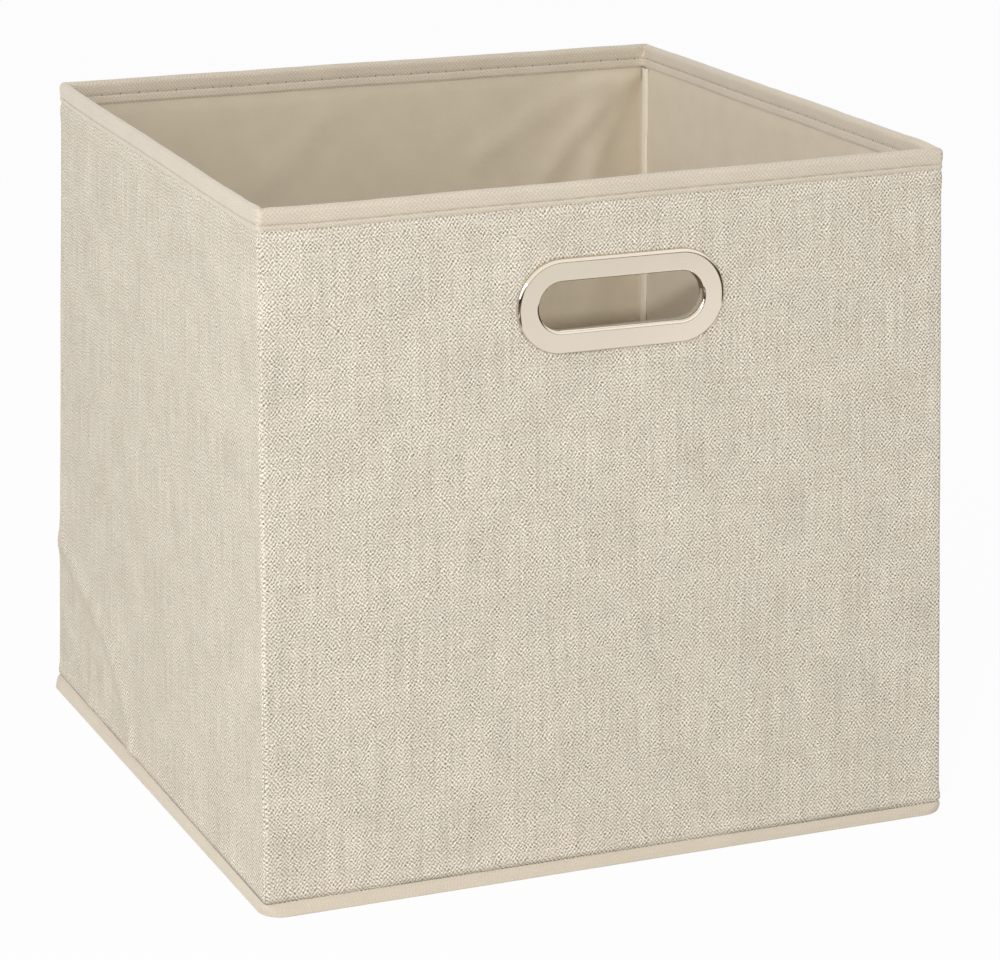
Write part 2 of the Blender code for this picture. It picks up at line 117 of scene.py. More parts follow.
# Hem tape and cloth bottom
HEM_FOLD_RADIUS = 0.955 * MM
HEM_INNER_DEPTH = 2.25 * MM
HEM_INNER_TOP = 4.95 * MM
PANEL_THICKNESS = 0.4 * MM
PANEL_TOP = 5.6 * MM
PANEL_BEND_RADIUS = 1.0 * MM
FLANGE_DEPTH = 1.2 * MM

# Bound corner seams: along the corner's diagonal, and to its side
SEAM_BOTTOM = JOG_TOP
SEAM_TOP = 291.05 * MM
COVER_SETBACK = 0.03 * MM
LINING_SETBACK = 0.46 * MM
SEAM_TAPE_OUTER = 1.12 * MM
SEAM_TAPE_THICKNESS = 0.3 * MM
SEAM_FOOT = 5.92 * MM
SEAM_ALLOWANCE_END = 7.6 * MM
SEAM_ROOT = 4.87 * MM
SEAM_LEAN = -2.5 * MM
LINING_CORNER_RADIUS = 3.5 * MM
LINING_CORNER_TAPER = 10.0 * MM
SEAM_ROW = 0.8 * MM
SEAM_STITCH = 3.6 * MM
SEAM_PINCH_SHARE = 0.16

# Loose base board
INSERT_HALF = 150.3 * MM
INSERT_CORNER_RADIUS = 9.14 * MM
INSERT_BOTTOM = 5.9 * MM
INSERT_THICKNESS = 4.6 * MM
INSERT_TAPE_LEG = 8.0 * MM
INSERT_CLOTH_THICKNESS = 0.4 * MM
INSERT_CLOTH_INSET = 2.3 * MM
INSERT_STITCH_INSET = 5.6 * MM
INSERT_STITCHES = 150

# Metal oval in the front wall
HANDLE_HEIGHT = 251.8 * MM
HANDLE_SIDE_SHIFT = 2.8 * MM
OVAL_HALF_RUN = 27.25 * MM
HOLE_RADIUS = 10.7 * MM
METAL_THICKNESS = 0.5 * MM
FACE_RADIUS = HOLE_RADIUS + 9.8 * MM
FACE_PROUD = 1.8 * MM
FACE_OUTER_BEND = 1.75 * MM
FACE_INNER_BEND = 1.2 * MM
FACE_EDGE_RUN = 0.2 * MM
CUT_RADIUS = 11.5 * MM
WASHER_DEPTH = 2.95 * MM
WASHER_THICKNESS = 0.8 * MM
WASHER_RADIUS = 11.8 * MM
WASHER_BAND = 6.5 * MM
WASHER_EDGE = 0.3 * MM
LIP_DEPTH = 4.0 * MM
LIP_INNER_BEND = 0.6 * MM
LIP_LENGTH = 1.5 * MM
WALL_LEAN = math.atan((COVER_HALF_FLOOR - COVER_HALF_RIM) / HEIGHT)

# Grids
CELL = 2.5 * MM
TAPE_CELL = 2.4 * MM
TAPE_ROW = 0.34 * MM
CLOTH_CELL = 7.0 * MM
CORNER_STEPS = 8
BEND_STEPS = 8
OVAL_STEPS = 40

# Threads
THREAD_RADIUS = 0.14 * MM
THREAD_SIDES = 6
THREAD_RINGS = 9
THREAD_LOOP_SHARE = 0.94
THREAD_END_SHARE = 0.55
THREAD_RISE = 1.7
THREAD_SINK = 0.7
THREAD_ROUNDNESS = 0.6
THREAD_WANDER_SIZE = 5 * MM
THREAD_APART = 10 * MM
THREAD_SEED = 2.0


def half_width(z):
    """Half the plan width over the covers at height z."""
    lean = COVER_HALF_FLOOR + (COVER_HALF_RIM - COVER_HALF_FLOOR) * z / HEIGHT
    return lean + HEM_FLARE * max(0.0, 1.0 - z / HEM_HEIGHT)


def corner_radius(z):
    """Radius of the covers' corners at height z, rounder where the hem rolls under."""
    taper = HEM_CORNER_RADIUS + (RIM_CORNER_RADIUS - HEM_CORNER_RADIUS) * z / HEIGHT
    return taper + HEM_CORNER_ROLL * max(0.0, 1.0 - z / HEM_HEIGHT)


def smooth(low, high, value):
    """Ease from 0 at low to 1 at high."""
    share = min(1.0, max(0.0, (value - low) / (high - low)))
    return share * share * (3.0 - 2.0 * share)


def between_corners(shifts, x, y):
    """A shift between those of the four corners."""
    total = Vector((0.0, 0.0, 0.0))
    for (side_x, side_y), shift in shifts.items():
        share = (1.0 + side_x * x / COVER_HALF_RIM) * (1.0 + side_y * y / COVER_HALF_RIM) / 4.0
        total += Vector(shift) * share
    return total


def rim_sag(along, across, depth):
    """How far a wall's rim hangs: along it from its middle, and across the basket towards it."""
    return depth * smooth(0.0, SAG_RUN, COVER_HALF_RIM - abs(along)) * smooth(0.0, -COVER_HALF_RIM, across)


def settled(point):
    """Where a point of the sewn basket really stands, moved with the rim and the hem."""
    up = point.z / HEIGHT
    low = max(0.0, 1.0 - point.z / HEM_HEIGHT)
    sag = rim_sag(point.x, point.y, FRONT_RIM_SAG) + rim_sag(point.y, point.x, LEFT_RIM_SAG)
    rim = between_corners(RIM_SHIFTS, point.x, point.y) - Vector((0.0, 0.0, sag))
    foot = between_corners(FOOT_SHIFTS, point.x, point.y)
    return point + rim * up + foot * (1.0 - up) + between_corners(HEM_SHIFTS, point.x, point.y) * low


def bump(distance, width):
    """A soft hill of height 1 that falls off past its width."""
    return math.exp(-(distance / width) ** 2)


def ripple(place, size, seed):
    """Smooth noise from -1 to 1 with features of about a size."""
    return noise.noise(Vector(place) / size + Vector((seed, seed, seed)))


def steps(low, high, cell):
    """Even steps from low to high, each at most a cell long."""
    count = max(1, math.ceil(abs(high - low) / cell))
    return [low + (high - low) * step / count for step in range(count + 1)]


def chain(*runs):
    """Even steps along runs of (low, high, cell) that follow each other."""
    found = []
    for run in runs:
        found = found[:-1] + steps(*run)
    return found


def arc(centre, radius, start, stop, count):
    """Points of an arc in a section, its angles in degrees."""
    points = []
    for step in range(count + 1):
        angle = math.radians(start + (stop - start) * step / count)
        points.append((centre[0] + radius * math.cos(angle), centre[1] + radius * math.sin(angle)))
    return points


# Node trees


def node(tree, kind, inputs=None, **settings):
    """Add a node, set its properties, and set or link its inputs."""
    made = tree.nodes.new(kind)
    for name, value in settings.items():
        setattr(made, name, value)
    for name, value in (inputs or {}).items():
        if isinstance(value, bpy.types.NodeSocket):
            tree.links.new(value, made.inputs[name])
        else:
            made.inputs[name].default_value = value
    return made


def calc(tree, operation, first, second=0.0, third=0.0):
    """The result of a Math node."""
    return node(tree, "ShaderNodeMath", {0: first, 1: second, 2: third}, operation=operation).outputs[0]


def blend_colour(tree, share, first, second, mode="MIX"):
    """The result of a colour Mix node."""
    mixed = node(tree, "ShaderNodeMix", {0: share, 6: first, 7: second}, data_type="RGBA", blend_type=mode)
    return mixed.outputs[2]


def spread(tree, value, low, high, to_low, to_high):
    """Map a value from one range to another, clamped."""
    mapped = {"Value": value, "From Min": low, "From Max": high, "To Min": to_low, "To Max": to_high}
    return node(tree, "ShaderNodeMapRange", mapped).outputs[0]


def noise_value(tree, place, scale, detail=2.0, stretch=(1.0, 1.0, 1.0), out=0):
    """Noise read at a place, stretched along its axes."""
    moved = node(tree, "ShaderNodeVectorMath", {0: place, 1: stretch}, operation="MULTIPLY").outputs[0]
    return node(tree, "ShaderNodeTexNoise", {"Vector": moved, "Scale": scale, "Detail": detail}).outputs[out]


def wave(tree, across, up, frequency, phase):
    """A sine wave over the cloth, with its frequency per metre each way and a phase."""
    turn = calc(tree, "MULTIPLY_ADD", across, 2.0 * math.pi * frequency[0], phase)
    turn = calc(tree, "MULTIPLY_ADD", up, 2.0 * math.pi * frequency[1], turn)
    return calc(tree, "SINE", turn)


def new_material(name, roughness, metallic=0.0, specular=0.5):
    """An empty Principled material: its tree and its shader."""
    material = bpy.data.materials.new(name)
    material.use_nodes = True
    tree = material.node_tree
    shader = tree.nodes["Principled BSDF"]
    shader.inputs["Roughness"].default_value = roughness
    shader.inputs["Metallic"].default_value = metallic
    shader.inputs["Specular IOR Level"].default_value = specular
    return material, tree, shader


def cloth_place(tree):
    """The cloth's own flat place in metres: as a vector, across and up."""
    place = node(tree, "ShaderNodeUVMap", uv_map="cloth").outputs[0]
    parts = node(tree, "ShaderNodeSeparateXYZ", {0: place})
    return place, parts.outputs[0], parts.outputs[1]


def add_bump(tree, shader, height, distance, strength=1.0):
    """Drive the shader's normal by a height."""
    made = node(tree, "ShaderNodeBump", {"Height": height, "Distance": distance, "Strength": strength})
    tree.links.new(made.outputs[0], shader.inputs["Normal"])


def scaled(tree, colour, gains):
    """A colour times the product of some numbers."""
    total = gains[0]
    for gain in gains[1:]:
        total = calc(tree, "MULTIPLY", total, gain)
    grey = node(tree, "ShaderNodeCombineXYZ", {0: total, 1: total, 2: total}).outputs[0]
    return blend_colour(tree, 1.0, colour, grey, "MULTIPLY")


def clouds(tree, place, scale, detail, stretch, reach):
    """A gain from noise, whose range is mapped to another."""
    return spread(tree, noise_value(tree, place, scale, detail, stretch), *reach)


def shifted(tree, place, offset):
    """A place moved by a vector."""
    return node(tree, "ShaderNodeVectorMath", {0: place, 1: offset}, operation="ADD").outputs[0]


EVEN = (1.0, 1.0, 1.0)

# Crossed waves of the weave: frequency per metre each way, strength, and seed
WEAVE_WAVES = (
    ((555.0, -469.0), 1.0, 3.0),
    ((531.0, 516.0), 0.86, 11.0),
    ((16.0, -648.0), 0.4, 23.0),
)
WEAVE_PHASE = (190.0, 11.0)
WEAVE_SWELL = (250.0, 1.0, EVEN, (0.34, 0.66, 0.3, 1.3))
WEAVE_GRAIN = (1900.0, 4.6)
WEAVE_REACH = (-2.35, 2.25, 0.0, 1.0)
WEAVE_RELIEF = (0.2 * MM, 0.4)

# Short slanting strokes: angle in degrees and seed
STROKES = ((-42.0, 5.0), (44.0, 17.0))
STROKE_STRETCH = (900.0, 2100.0, 1.0)
STROKE_STRENGTH = 1.8

# Colours of the weave from its pits to its crowns: the threads' own colours, with painted shade in the pits
# and painted highlights on the crowns
WEAVE_RAMP = (
    (0.0, (0.15, 0.122, 0.088, 1.0)),
    (0.36, (0.52, 0.46, 0.37, 1.0)),
    (0.62, (0.765, 0.70, 0.588, 1.0)),
    (1.0, (1.0, 0.955, 0.875, 1.0)),
)

# Slubs, thick picks, broad and small blotches: scale, detail, stretch, and the ranges
WEAVE_CLOUDS = (
    (1.0, 1.0, (700.0, 24.0, 1.0), (0.30, 0.75, 0.93, 1.09)),
    (1.0, 1.0, (24.0, 850.0, 1.0), (0.3, 0.7, 0.975, 1.03)),
    (36.0, 2.0, EVEN, (0.3, 0.7, 0.955, 1.035)),
    (170.0, 2.0, EVEN, (0.3, 0.7, 0.965, 1.03)),
)
# Painted shade with some grime above the hem tape: the height of its band, and the patchy cloud that sets
# its strength
HEM_SHADE_HEIGHT = 2.6 * MM
HEM_SHADE_CLOUD = (14.0, 1.0, EVEN, (0.4, 0.62, 0.10, 0.34))
ROSY_CLOUD = (48.0, 1.0, EVEN, (0.46, 0.66, 0.0, 1.0))
ROSY_TINT = (1.0, 0.985, 0.975, 1.0)


def woven_material():
    """Linen-look weave: uneven crossed floats with pinholes, slubs, blotches, and painted shade with some
    grime just above the hem tape.
    """
    material, tree, shader = new_material("woven_cover", 0.92, specular=0.25)
    place, across, up = cloth_place(tree)
    grain, grain_strength = WEAVE_GRAIN
    height = calc(tree, "SUBTRACT", noise_value(tree, place, grain, 1.0), 0.5)
    height = calc(tree, "MULTIPLY", height, grain_strength)
    for frequency, strength, seed in WEAVE_WAVES:
        own = shifted(tree, place, (seed, seed, 0.0))
        phase = calc(tree, "MULTIPLY", noise_value(tree, own, WEAVE_PHASE[0]), WEAVE_PHASE[1])
        part = wave(tree, across, up, frequency, phase)
        part = calc(tree, "MULTIPLY", part, clouds(tree, own, *WEAVE_SWELL))
        height = calc(tree, "MULTIPLY_ADD", part, strength, height)
    for angle, seed in STROKES:
        turn = {0: place, "Angle": math.radians(angle)}
        turned = node(tree, "ShaderNodeVectorRotate", turn, rotation_type="Z_AXIS").outputs[0]
        stroke = noise_value(tree, shifted(tree, turned, (seed, seed, 0.0)), 1.0, 1.0, STROKE_STRETCH)
        height = calc(tree, "MULTIPLY_ADD", calc(tree, "SUBTRACT", stroke, 0.5), STROKE_STRENGTH, height)
    level = spread(tree, height, *WEAVE_REACH)
    ramp = node(tree, "ShaderNodeValToRGB", {0: level})
    stops = ramp.color_ramp.elements
    stops.remove(stops[1])
    stops[0].color = WEAVE_RAMP[0][1]
    for position, colour in WEAVE_RAMP[1:]:
        stops.new(position).color = colour
    gains = [clouds(tree, place, *row) for row in WEAVE_CLOUDS]
    # Painted shade with some grime on the cover just above the hem tape, patchy along it
    hem_shade = spread(tree, up, HEM_HEIGHT, HEM_HEIGHT + HEM_SHADE_HEIGHT, 1.0, 0.0)
    hem_shade = calc(tree, "MULTIPLY", hem_shade, clouds(tree, place, *HEM_SHADE_CLOUD))
    colour = scaled(tree, ramp.outputs[0], [*gains, calc(tree, "SUBTRACT", 1.0, hem_shade)])
    colour = blend_colour(tree, clouds(tree, place, *ROSY_CLOUD), colour, ROSY_TINT, "MULTIPLY")
    tree.links.new(colour, shader.inputs["Base Color"])
    add_bump(tree, shader, level, *WEAVE_RELIEF)
    return material


# Painted shade at the stitches: how it fades out round a needle hole, and across the groove with its
# darkness
NEEDLE_HOLE_SHADE = (0.25 * MM, 0.65 * MM)
STITCH_GROOVE_SHADE = (0.1 * MM, 0.6 * MM, 0.14, 0.0)


def stitch_shade(tree, across, up, stitch, row, depth):
    """Painted shade of a row of needle holes and of the groove between them, at a place up the tape."""
    from_row = calc(tree, "ABSOLUTE", calc(tree, "SUBTRACT", up, row))
    from_hole = calc(tree, "PINGPONG", across, stitch / 2)
    square = calc(tree, "MULTIPLY_ADD", from_hole, from_hole, calc(tree, "MULTIPLY", from_row, from_row))
    hole = spread(tree, calc(tree, "SQRT", square), *NEEDLE_HOLE_SHADE, depth, 0.0)
    return calc(tree, "MAXIMUM", hole, spread(tree, from_row, *STITCH_GROOVE_SHADE))


FIBRE_SCALE = 1800.0
FIBRE_SHARE = 1.6
FIBRE_RELIEF = (0.06 * MM, 0.5)
NONWOVEN_CLOUD = (60.0, 3.0, EVEN, (0.3, 0.7, 0.97, 1.03))


def nonwoven_material(name, tint, emboss, pitch, sheen, stitch=0.0, stitch_rows=()):
    """Pressed nonwoven cloth: a fine slanting emboss, cloudy fibres, soft spots, and painted shade in the
    needle holes and groove of any stitch rows.
    """
    material, tree, shader = new_material(name, 0.8, specular=0.3)
    shader.inputs["Sheen Weight"].default_value = sheen
    place, across, up = cloth_place(tree)
    turns = 0.5 / pitch
    crossed = [wave(tree, across, up, (turns, way), 0.0) for way in (turns, -turns)]
    dots = calc(tree, "MULTIPLY", calc(tree, "ADD", *crossed), 0.5)
    fibre = noise_value(tree, place, FIBRE_SCALE)
    uneven = FIBRE_SHARE * emboss
    gains = [
        spread(tree, dots, -1.0, 1.0, 1.0 - emboss, 1.0 + emboss),
        spread(tree, fibre, 0.3, 0.7, 1.0 - uneven, 1.0 + uneven),
        clouds(tree, place, *NONWOVEN_CLOUD),
    ]
    # Painted shade along each stitch row
    for row, depth in stitch_rows:
        gains.append(calc(tree, "SUBTRACT", 1.0, stitch_shade(tree, across, up, stitch, row, depth)))
    tree.links.new(scaled(tree, (*tint, 1.0), gains), shader.inputs["Base Color"])
    add_bump(tree, shader, calc(tree, "MULTIPLY_ADD", fibre, 0.5, dots), *FIBRE_RELIEF)
    return material


def mottled_material(name, roughness, specular, noise_row, colours, relief):
    """A material of two colours mixed by noise in the object's space: its tree, shader, place and colour."""
    material, tree, shader = new_material(name, roughness, specular=specular)
    place = node(tree, "ShaderNodeTexCoord").outputs["Object"]
    mottle = noise_value(tree, place, *noise_row)
    add_bump(tree, shader, mottle, *relief)
    return material, tree, shader, place, blend_colour(tree, mottle, *colours)


THREAD_COLOURS = ((0.44, 0.37, 0.28, 1.0), (0.58, 0.50, 0.39, 1.0))
THREAD_MOTTLE = (2600.0, 1.0)
THREAD_RELIEF = (0.05 * MM, 0.5)
BOARD_MOTTLE = (700.0, 4.0)
BOARD_RELIEF = (0.1 * MM, 0.4)
BOARD_COLOURS = ((0.27, 0.24, 0.19, 1.0), (0.40, 0.36, 0.29, 1.0))
BOARD_LAYER = (0.36, 0.33, 0.28, 1.0)
BOARD_LAYER_SCALE = 60.0
BOARD_LAYER_SHARE = 0.3


def thread_material():
    """Twisted sewing thread."""
    material, tree, shader, _, colour = mottled_material(
        "sewing_thread", 0.7, 0.4, THREAD_MOTTLE, THREAD_COLOURS, THREAD_RELIEF
    )
    tree.links.new(colour, shader.inputs["Base Color"])
    return material


def board_material():
    """Pressed greyboard with dark and light flecks."""
    material, tree, shader, place, colour = mottled_material(
        "greyboard", 0.95, 0.2, BOARD_MOTTLE, BOARD_COLOURS, BOARD_RELIEF
    )
    layer = calc(tree, "MULTIPLY", noise_value(tree, place, BOARD_LAYER_SCALE), BOARD_LAYER_SHARE)
    tree.links.new(blend_colour(tree, layer, colour, BOARD_LAYER), shader.inputs["Base Color"])
    return material


METAL_COLOURS = ((0.705, 0.63, 0.515, 1.0), (0.795, 0.705, 0.60, 1.0))
# How much lighter the painted reflection makes the metal at its bottom and at its right
METAL_LOWER_REFLECTION = 0.65
METAL_RIGHT_REFLECTION = 0.55
METAL_TONE = (0.5, 0.25)
HAZE_SCALE = 60.0
SCRATCH_STRETCH = (120.0, 900.0, 2400.0)
SCRATCH_SHARE = 0.4
METAL_ROUGHNESS = (0.4, 1.0, 0.03, 0.09)
METAL_RELIEF = (0.03 * MM, 0.3)


def metal_material():
    """Polished nickel plate with faint polishing marks, a soft haze, and painted reflection: a tone lighter
    low and right.
    """
    material, tree, shader = new_material("polished_nickel", 0.1, metallic=1.0)
    place = node(tree, "ShaderNodeTexCoord").outputs["Object"]
    haze = noise_value(tree, place, HAZE_SCALE)
    parts = node(tree, "ShaderNodeSeparateXYZ", {0: place}).outputs
    # Painted reflection: the colour lightens towards the bottom and the right of the oval
    top, bottom = HANDLE_HEIGHT + FACE_RADIUS, HANDLE_HEIGHT - FACE_RADIUS
    lower = spread(tree, parts[2], top, bottom, 0.0, METAL_LOWER_REFLECTION)
    right = spread(tree, parts[0], 0.0, OVAL_HALF_RUN + FACE_RADIUS, 0.0, METAL_RIGHT_REFLECTION)
    tone = calc(tree, "SUBTRACT", calc(tree, "ADD", lower, right), METAL_TONE[1])
    tone = calc(tree, "MULTIPLY_ADD", haze, METAL_TONE[0], tone)
    scratch = noise_value(tree, place, 1.0, 2.0, SCRATCH_STRETCH)
    rough = spread(tree, calc(tree, "MULTIPLY_ADD", scratch, SCRATCH_SHARE, haze), *METAL_ROUGHNESS)
    tree.links.new(blend_colour(tree, tone, *METAL_COLOURS), shader.inputs["Base Color"])
    tree.links.new(rough, shader.inputs["Roughness"])
    add_bump(tree, shader, haze, *METAL_RELIEF)
    return material


# Nonwoven cloths: tint, strength of the emboss, its pitch, and sheen
LINING_LOOK = ((0.645, 0.563, 0.437), 0.03, 0.9 * MM, 0.5)
TAPE_LOOK = ((0.645, 0.567, 0.455), 0.05, 0.8 * MM, 0.4)
RIM_TAPE_LOOK = ((0.645, 0.567, 0.455), 0.11, 0.95 * MM, 0.4)
# The seam tape's tint is lighter than the rim tape's: painted light that brightens it in the shaded corners
SEAM_TAPE_BRIGHTENED_LOOK = ((0.82, 0.745, 0.62), 0.03, 0.8 * MM, 0.3)

WOVEN = woven_material()
LINING = nonwoven_material("lining_cloth", *LINING_LOOK)
TAPE = nonwoven_material("binding_tape", *TAPE_LOOK)
SEAM_TAPE = nonwoven_material("seam_tape", *SEAM_TAPE_BRIGHTENED_LOOK)
THREAD = thread_material()
GREYBOARD = board_material()
NICKEL = metal_material()

# Meshes


def keep(obj, body, slot, *nodes):
    """Let a piece ride on a body and let it stand for any solids; its slot is not used."""
    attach(obj, body)
    if nodes:
        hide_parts(*nodes)
    return obj


def linked(name, data):
    """A new object of the scene."""
    obj = bpy.data.objects.new(name, data)
    bpy.context.collection.objects.link(obj)
    return obj


def make_object(name, mesh, material):
    """A mesh as an object with one material and smooth faces."""
    obj = linked(name, mesh)
    mesh.materials.clear()
    mesh.materials.append(material)
    mesh.shade_smooth()
    return obj


def quad(low, left):
    """The row and the column of each corner of a grid's cell."""
    return ((low, left), (low, left + 1), (low + 1, left + 1), (low + 1, left))


def grid_mesh(name, rows, places, skipped=(), ring=False, capped=False):
    """A sheet from rows of points with a flat place for each, around a ring or open."""
    count = len(rows[0])
    mesh = bpy.data.meshes.new(name)
    vertices = [tuple(point) for row in rows for point in row]
    faces = []
    flat = []
    for low in range(len(rows) - 1):
        for left in range(count if ring else count - 1):
            if (low, left) in skipped:
                continue
            faces.append(tuple(row * count + column % count for row, column in quad(low, left)))
            flat.extend(places[row][column] for row, column in quad(low, left))
    if capped:
        last = (len(rows) - 1) * count
        faces.append(tuple(range(last, last + count)))
        flat.extend(places[-1][:count])
    mesh.from_pydata(vertices, [], faces)
    layer = mesh.uv_layers.new(name="cloth")
    for index, place in enumerate(flat):
        layer.data[index].uv = place
    shape = bmesh.new()
    shape.from_mesh(mesh)
    loose = [vertex for vertex in shape.verts if not vertex.link_faces]
    bmesh.ops.delete(shape, geom=loose, context="VERTS")
    shape.to_mesh(mesh)
    shape.free()
    return mesh


def closed_mesh(name, vertices, faces):
    """A closed mesh whose faces look outwards."""
    mesh = bpy.data.meshes.new(name)
    mesh.from_pydata([tuple(point) for point in vertices], [], faces)
    shape = bmesh.new()
    shape.from_mesh(mesh)
    bmesh.ops.recalc_face_normals(shape, faces=shape.faces)
    if shape.calc_volume(signed=True) < 0.0:
        bmesh.ops.reverse_faces(shape, faces=shape.faces)
    shape.to_mesh(mesh)
    shape.free()
    return mesh


CLOTH_SHARP = math.radians(50.0)


def cloth(name, rows, places, material, thickness, even=True, cutter=None, **shape):
    """A cloth with its thickness behind its face, kept even at its bends or not, and any hole cut."""
    obj = make_object(name, grid_mesh(name, rows, places, **shape), material)
    shell = obj.modifiers.new("thickness", "SOLIDIFY")
    shell.thickness = thickness
    shell.offset = -1.0
    shell.use_even_offset = even
    if cutter:
        hole = obj.modifiers.new("hand_hole", "BOOLEAN")
        hole.operation = "DIFFERENCE"
        hole.solver = "EXACT"
        hole.object = cutter
    graph = bpy.context.evaluated_depsgraph_get()
    mesh = bpy.data.meshes.new_from_object(obj.evaluated_get(graph))
    obj.modifiers.clear()
    obj.data = mesh
    mesh.name = obj.name
    mesh.set_sharp_from_angle(angle=CLOTH_SHARP)
    return obj


# Camera, light and floor

CAMERA_PLACE = Vector((-0.61174, -1.53414, 0.60732))
CAMERA_AZIMUTH = math.radians(-22.089)
CAMERA_ELEVATION = math.radians(16.068)
CAMERA_ROLL = math.radians(-0.039)
CAMERA_LENS = 131.99
SENSOR_WIDTH = 36.0
CLIP_START = 0.05
CLIP_END = 100.0


def make_camera():
    """Camera at the photograph's place and angle."""
    east, north = math.cos(CAMERA_AZIMUTH), math.sin(CAMERA_AZIMUTH)
    level = math.cos(CAMERA_ELEVATION)
    back = Vector((north * level, -east * level, math.sin(CAMERA_ELEVATION)))
    right = Vector((east, north, 0.0))
    turn = Matrix((right, back.cross(right), back)).transposed() @ Matrix.Rotation(CAMERA_ROLL, 3, "Z")
    data = bpy.data.cameras.new("camera")
    data.lens = CAMERA_LENS
    data.sensor_width = SENSOR_WIDTH
    data.clip_start = CLIP_START
    data.clip_end = CLIP_END
    camera = linked("camera", data)
    camera.matrix_world = Matrix.Translation(CAMERA_PLACE) @ turn.to_4x4()
    bpy.context.scene.camera = camera


KEY_FROM = Vector((-1.02, -1.75, 1.03))
SIDE_FROM = Vector((-2.2, -0.65, 1.15))
KEY_SIZE = 0.04
SIDE_SIZE = 1.2
KEY_POWER = 17.9
SIDE_POWER = 16.6
WHITE = (1.0, 1.0, 1.0, 1.0)

# World: its light, what mirrors see, and where a dark low horizon lies to the left and right
AMBIENT = 0.58
MIRRORED_LIGHT = 1.2
MIRRORED_DARK = 0.03
HORIZON = (0.08, 0.34)
DARK_RIGHT = (0.45, 0.70)
DARK_LEFT = (0.05, -0.20)

# Floor: its colour, how much of it glows, and its dark fields in mirrors from x to x with their change
FLOOR_SIZE = 60.0
FLOOR_COLOUR = (0.72, 0.72, 0.715, 1.0)
GLOW_SHARE = 0.955
FLOOR_FLAGS = ((0.72, 0.80, 0.95), (-0.30, -0.36, 0.9), (-0.55, -0.60, -0.6), (-0.75, -0.80, 0.6))


def make_lamp(name, place, size, power):
    """A square softbox that faces the middle of the basket."""
    data = bpy.data.lights.new(name, "AREA")
    data.shape = "SQUARE"
    data.size = size
    data.energy = power
    lamp = linked(name, data)
    lamp.location = place
    lamp.rotation_mode = "QUATERNION"
    lamp.rotation_quaternion = (Vector((0.0, 0.0, HEIGHT / 2)) - place).to_track_quat("-Z", "Y")


def mix_number(tree, share, first, second):
    """The result of a number Mix node."""
    return node(tree, "ShaderNodeMix", {0: share, 2: first, 3: second}, data_type="FLOAT").outputs[0]


def make_world():
    """Even white studio: the camera sees it as white, and mirrors see it with a dark low horizon."""
    world = bpy.data.worlds.new("studio")
    world.use_nodes = True
    bpy.context.scene.world = world
    tree = world.node_tree
    tree.nodes.clear()
    path = node(tree, "ShaderNodeLightPath").outputs
    seen = calc(tree, "MAXIMUM", path["Is Camera Ray"], path["Is Transmission Ray"])
    way = node(tree, "ShaderNodeTexCoord").outputs["Generated"]
    parts = node(tree, "ShaderNodeSeparateXYZ", {0: way}).outputs
    low = spread(tree, parts[2], *HORIZON, 1.0, 0.0)
    right = spread(tree, parts[0], *DARK_RIGHT, 0.0, 1.0)
    left = spread(tree, parts[0], *DARK_LEFT, 0.0, 1.0)
    dark = calc(tree, "MULTIPLY", low, calc(tree, "MAXIMUM", left, right))
    mirrored = spread(tree, dark, 0.0, 1.0, MIRRORED_LIGHT, MIRRORED_DARK)
    strength = mix_number(tree, path["Is Glossy Ray"], AMBIENT, mirrored)
    light = node(tree, "ShaderNodeBackground", {0: WHITE, 1: mix_number(tree, seen, strength, 1.0)})
    out = node(tree, "ShaderNodeOutputWorld")
    tree.links.new(light.outputs[0], out.inputs[0])


def make_floor():
    """Pale floor that the camera and mirrors see as nearly white, with the basket's soft shadow."""
    mesh = bpy.data.meshes.new("floor")
    half = FLOOR_SIZE / 2
    corners = [(-half, -half, 0.0), (half, -half, 0.0), (half, half, 0.0), (-half, half, 0.0)]
    mesh.from_pydata(corners, [], [(0, 1, 2, 3)])
    material = bpy.data.materials.new("studio_floor")
    material.use_nodes = True
    tree = material.node_tree
    tree.nodes.clear()
    path = node(tree, "ShaderNodeLightPath").outputs
    seen = calc(tree, "MAXIMUM", path["Is Camera Ray"], path["Is Glossy Ray"])
    seen = calc(tree, "MAXIMUM", seen, path["Is Transmission Ray"])
    place = node(tree, "ShaderNodeTexCoord").outputs["Object"]
    sideways = node(tree, "ShaderNodeSeparateXYZ", {0: place}).outputs[0]
    flag = 0.0
    for near, far, change in FLOOR_FLAGS:
        flag = calc(tree, "ADD", spread(tree, sideways, near, far, 0.0, change), flag)
    glow = calc(tree, "SUBTRACT", 1.0, calc(tree, "MULTIPLY", flag, path["Is Glossy Ray"]))
    matte = node(tree, "ShaderNodeBsdfDiffuse", {0: FLOOR_COLOUR}).outputs[0]
    white = node(tree, "ShaderNodeEmission", {0: WHITE, 1: glow}).outputs[0]
    shown = calc(tree, "MULTIPLY", seen, GLOW_SHARE)
    mixed = node(tree, "ShaderNodeMixShader", {0: shown, 1: matte, 2: white})
    out = node(tree, "ShaderNodeOutputMaterial")
    tree.links.new(mixed.outputs[0], out.inputs[0])
    mesh.materials.append(material)
    floor = linked("floor", mesh)


make_camera()
make_world()
make_floor()
make_lamp("key_light", KEY_FROM, KEY_SIZE, KEY_POWER)
make_lamp("side_light", SIDE_FROM, SIDE_SIZE, SIDE_POWER)

# Wall sheets


def seam_point(z, along, side):
    """A point at the front left seam in plan, along the corner's diagonal and to its front side."""
    corner = -half_width(z)
    return Vector((corner + (along + side) / ROOT_TWO, corner + (along - side) / ROOT_TWO, z))


# Angle of a corner, its least bend, how far apart the walls' patterns lie, and slack between levels
DIAGONAL = 225.0
LEAST_BEND_SHARE = 1.2
WALL_APART = 0.4
LEVEL_SLACK = 0.05 * MM


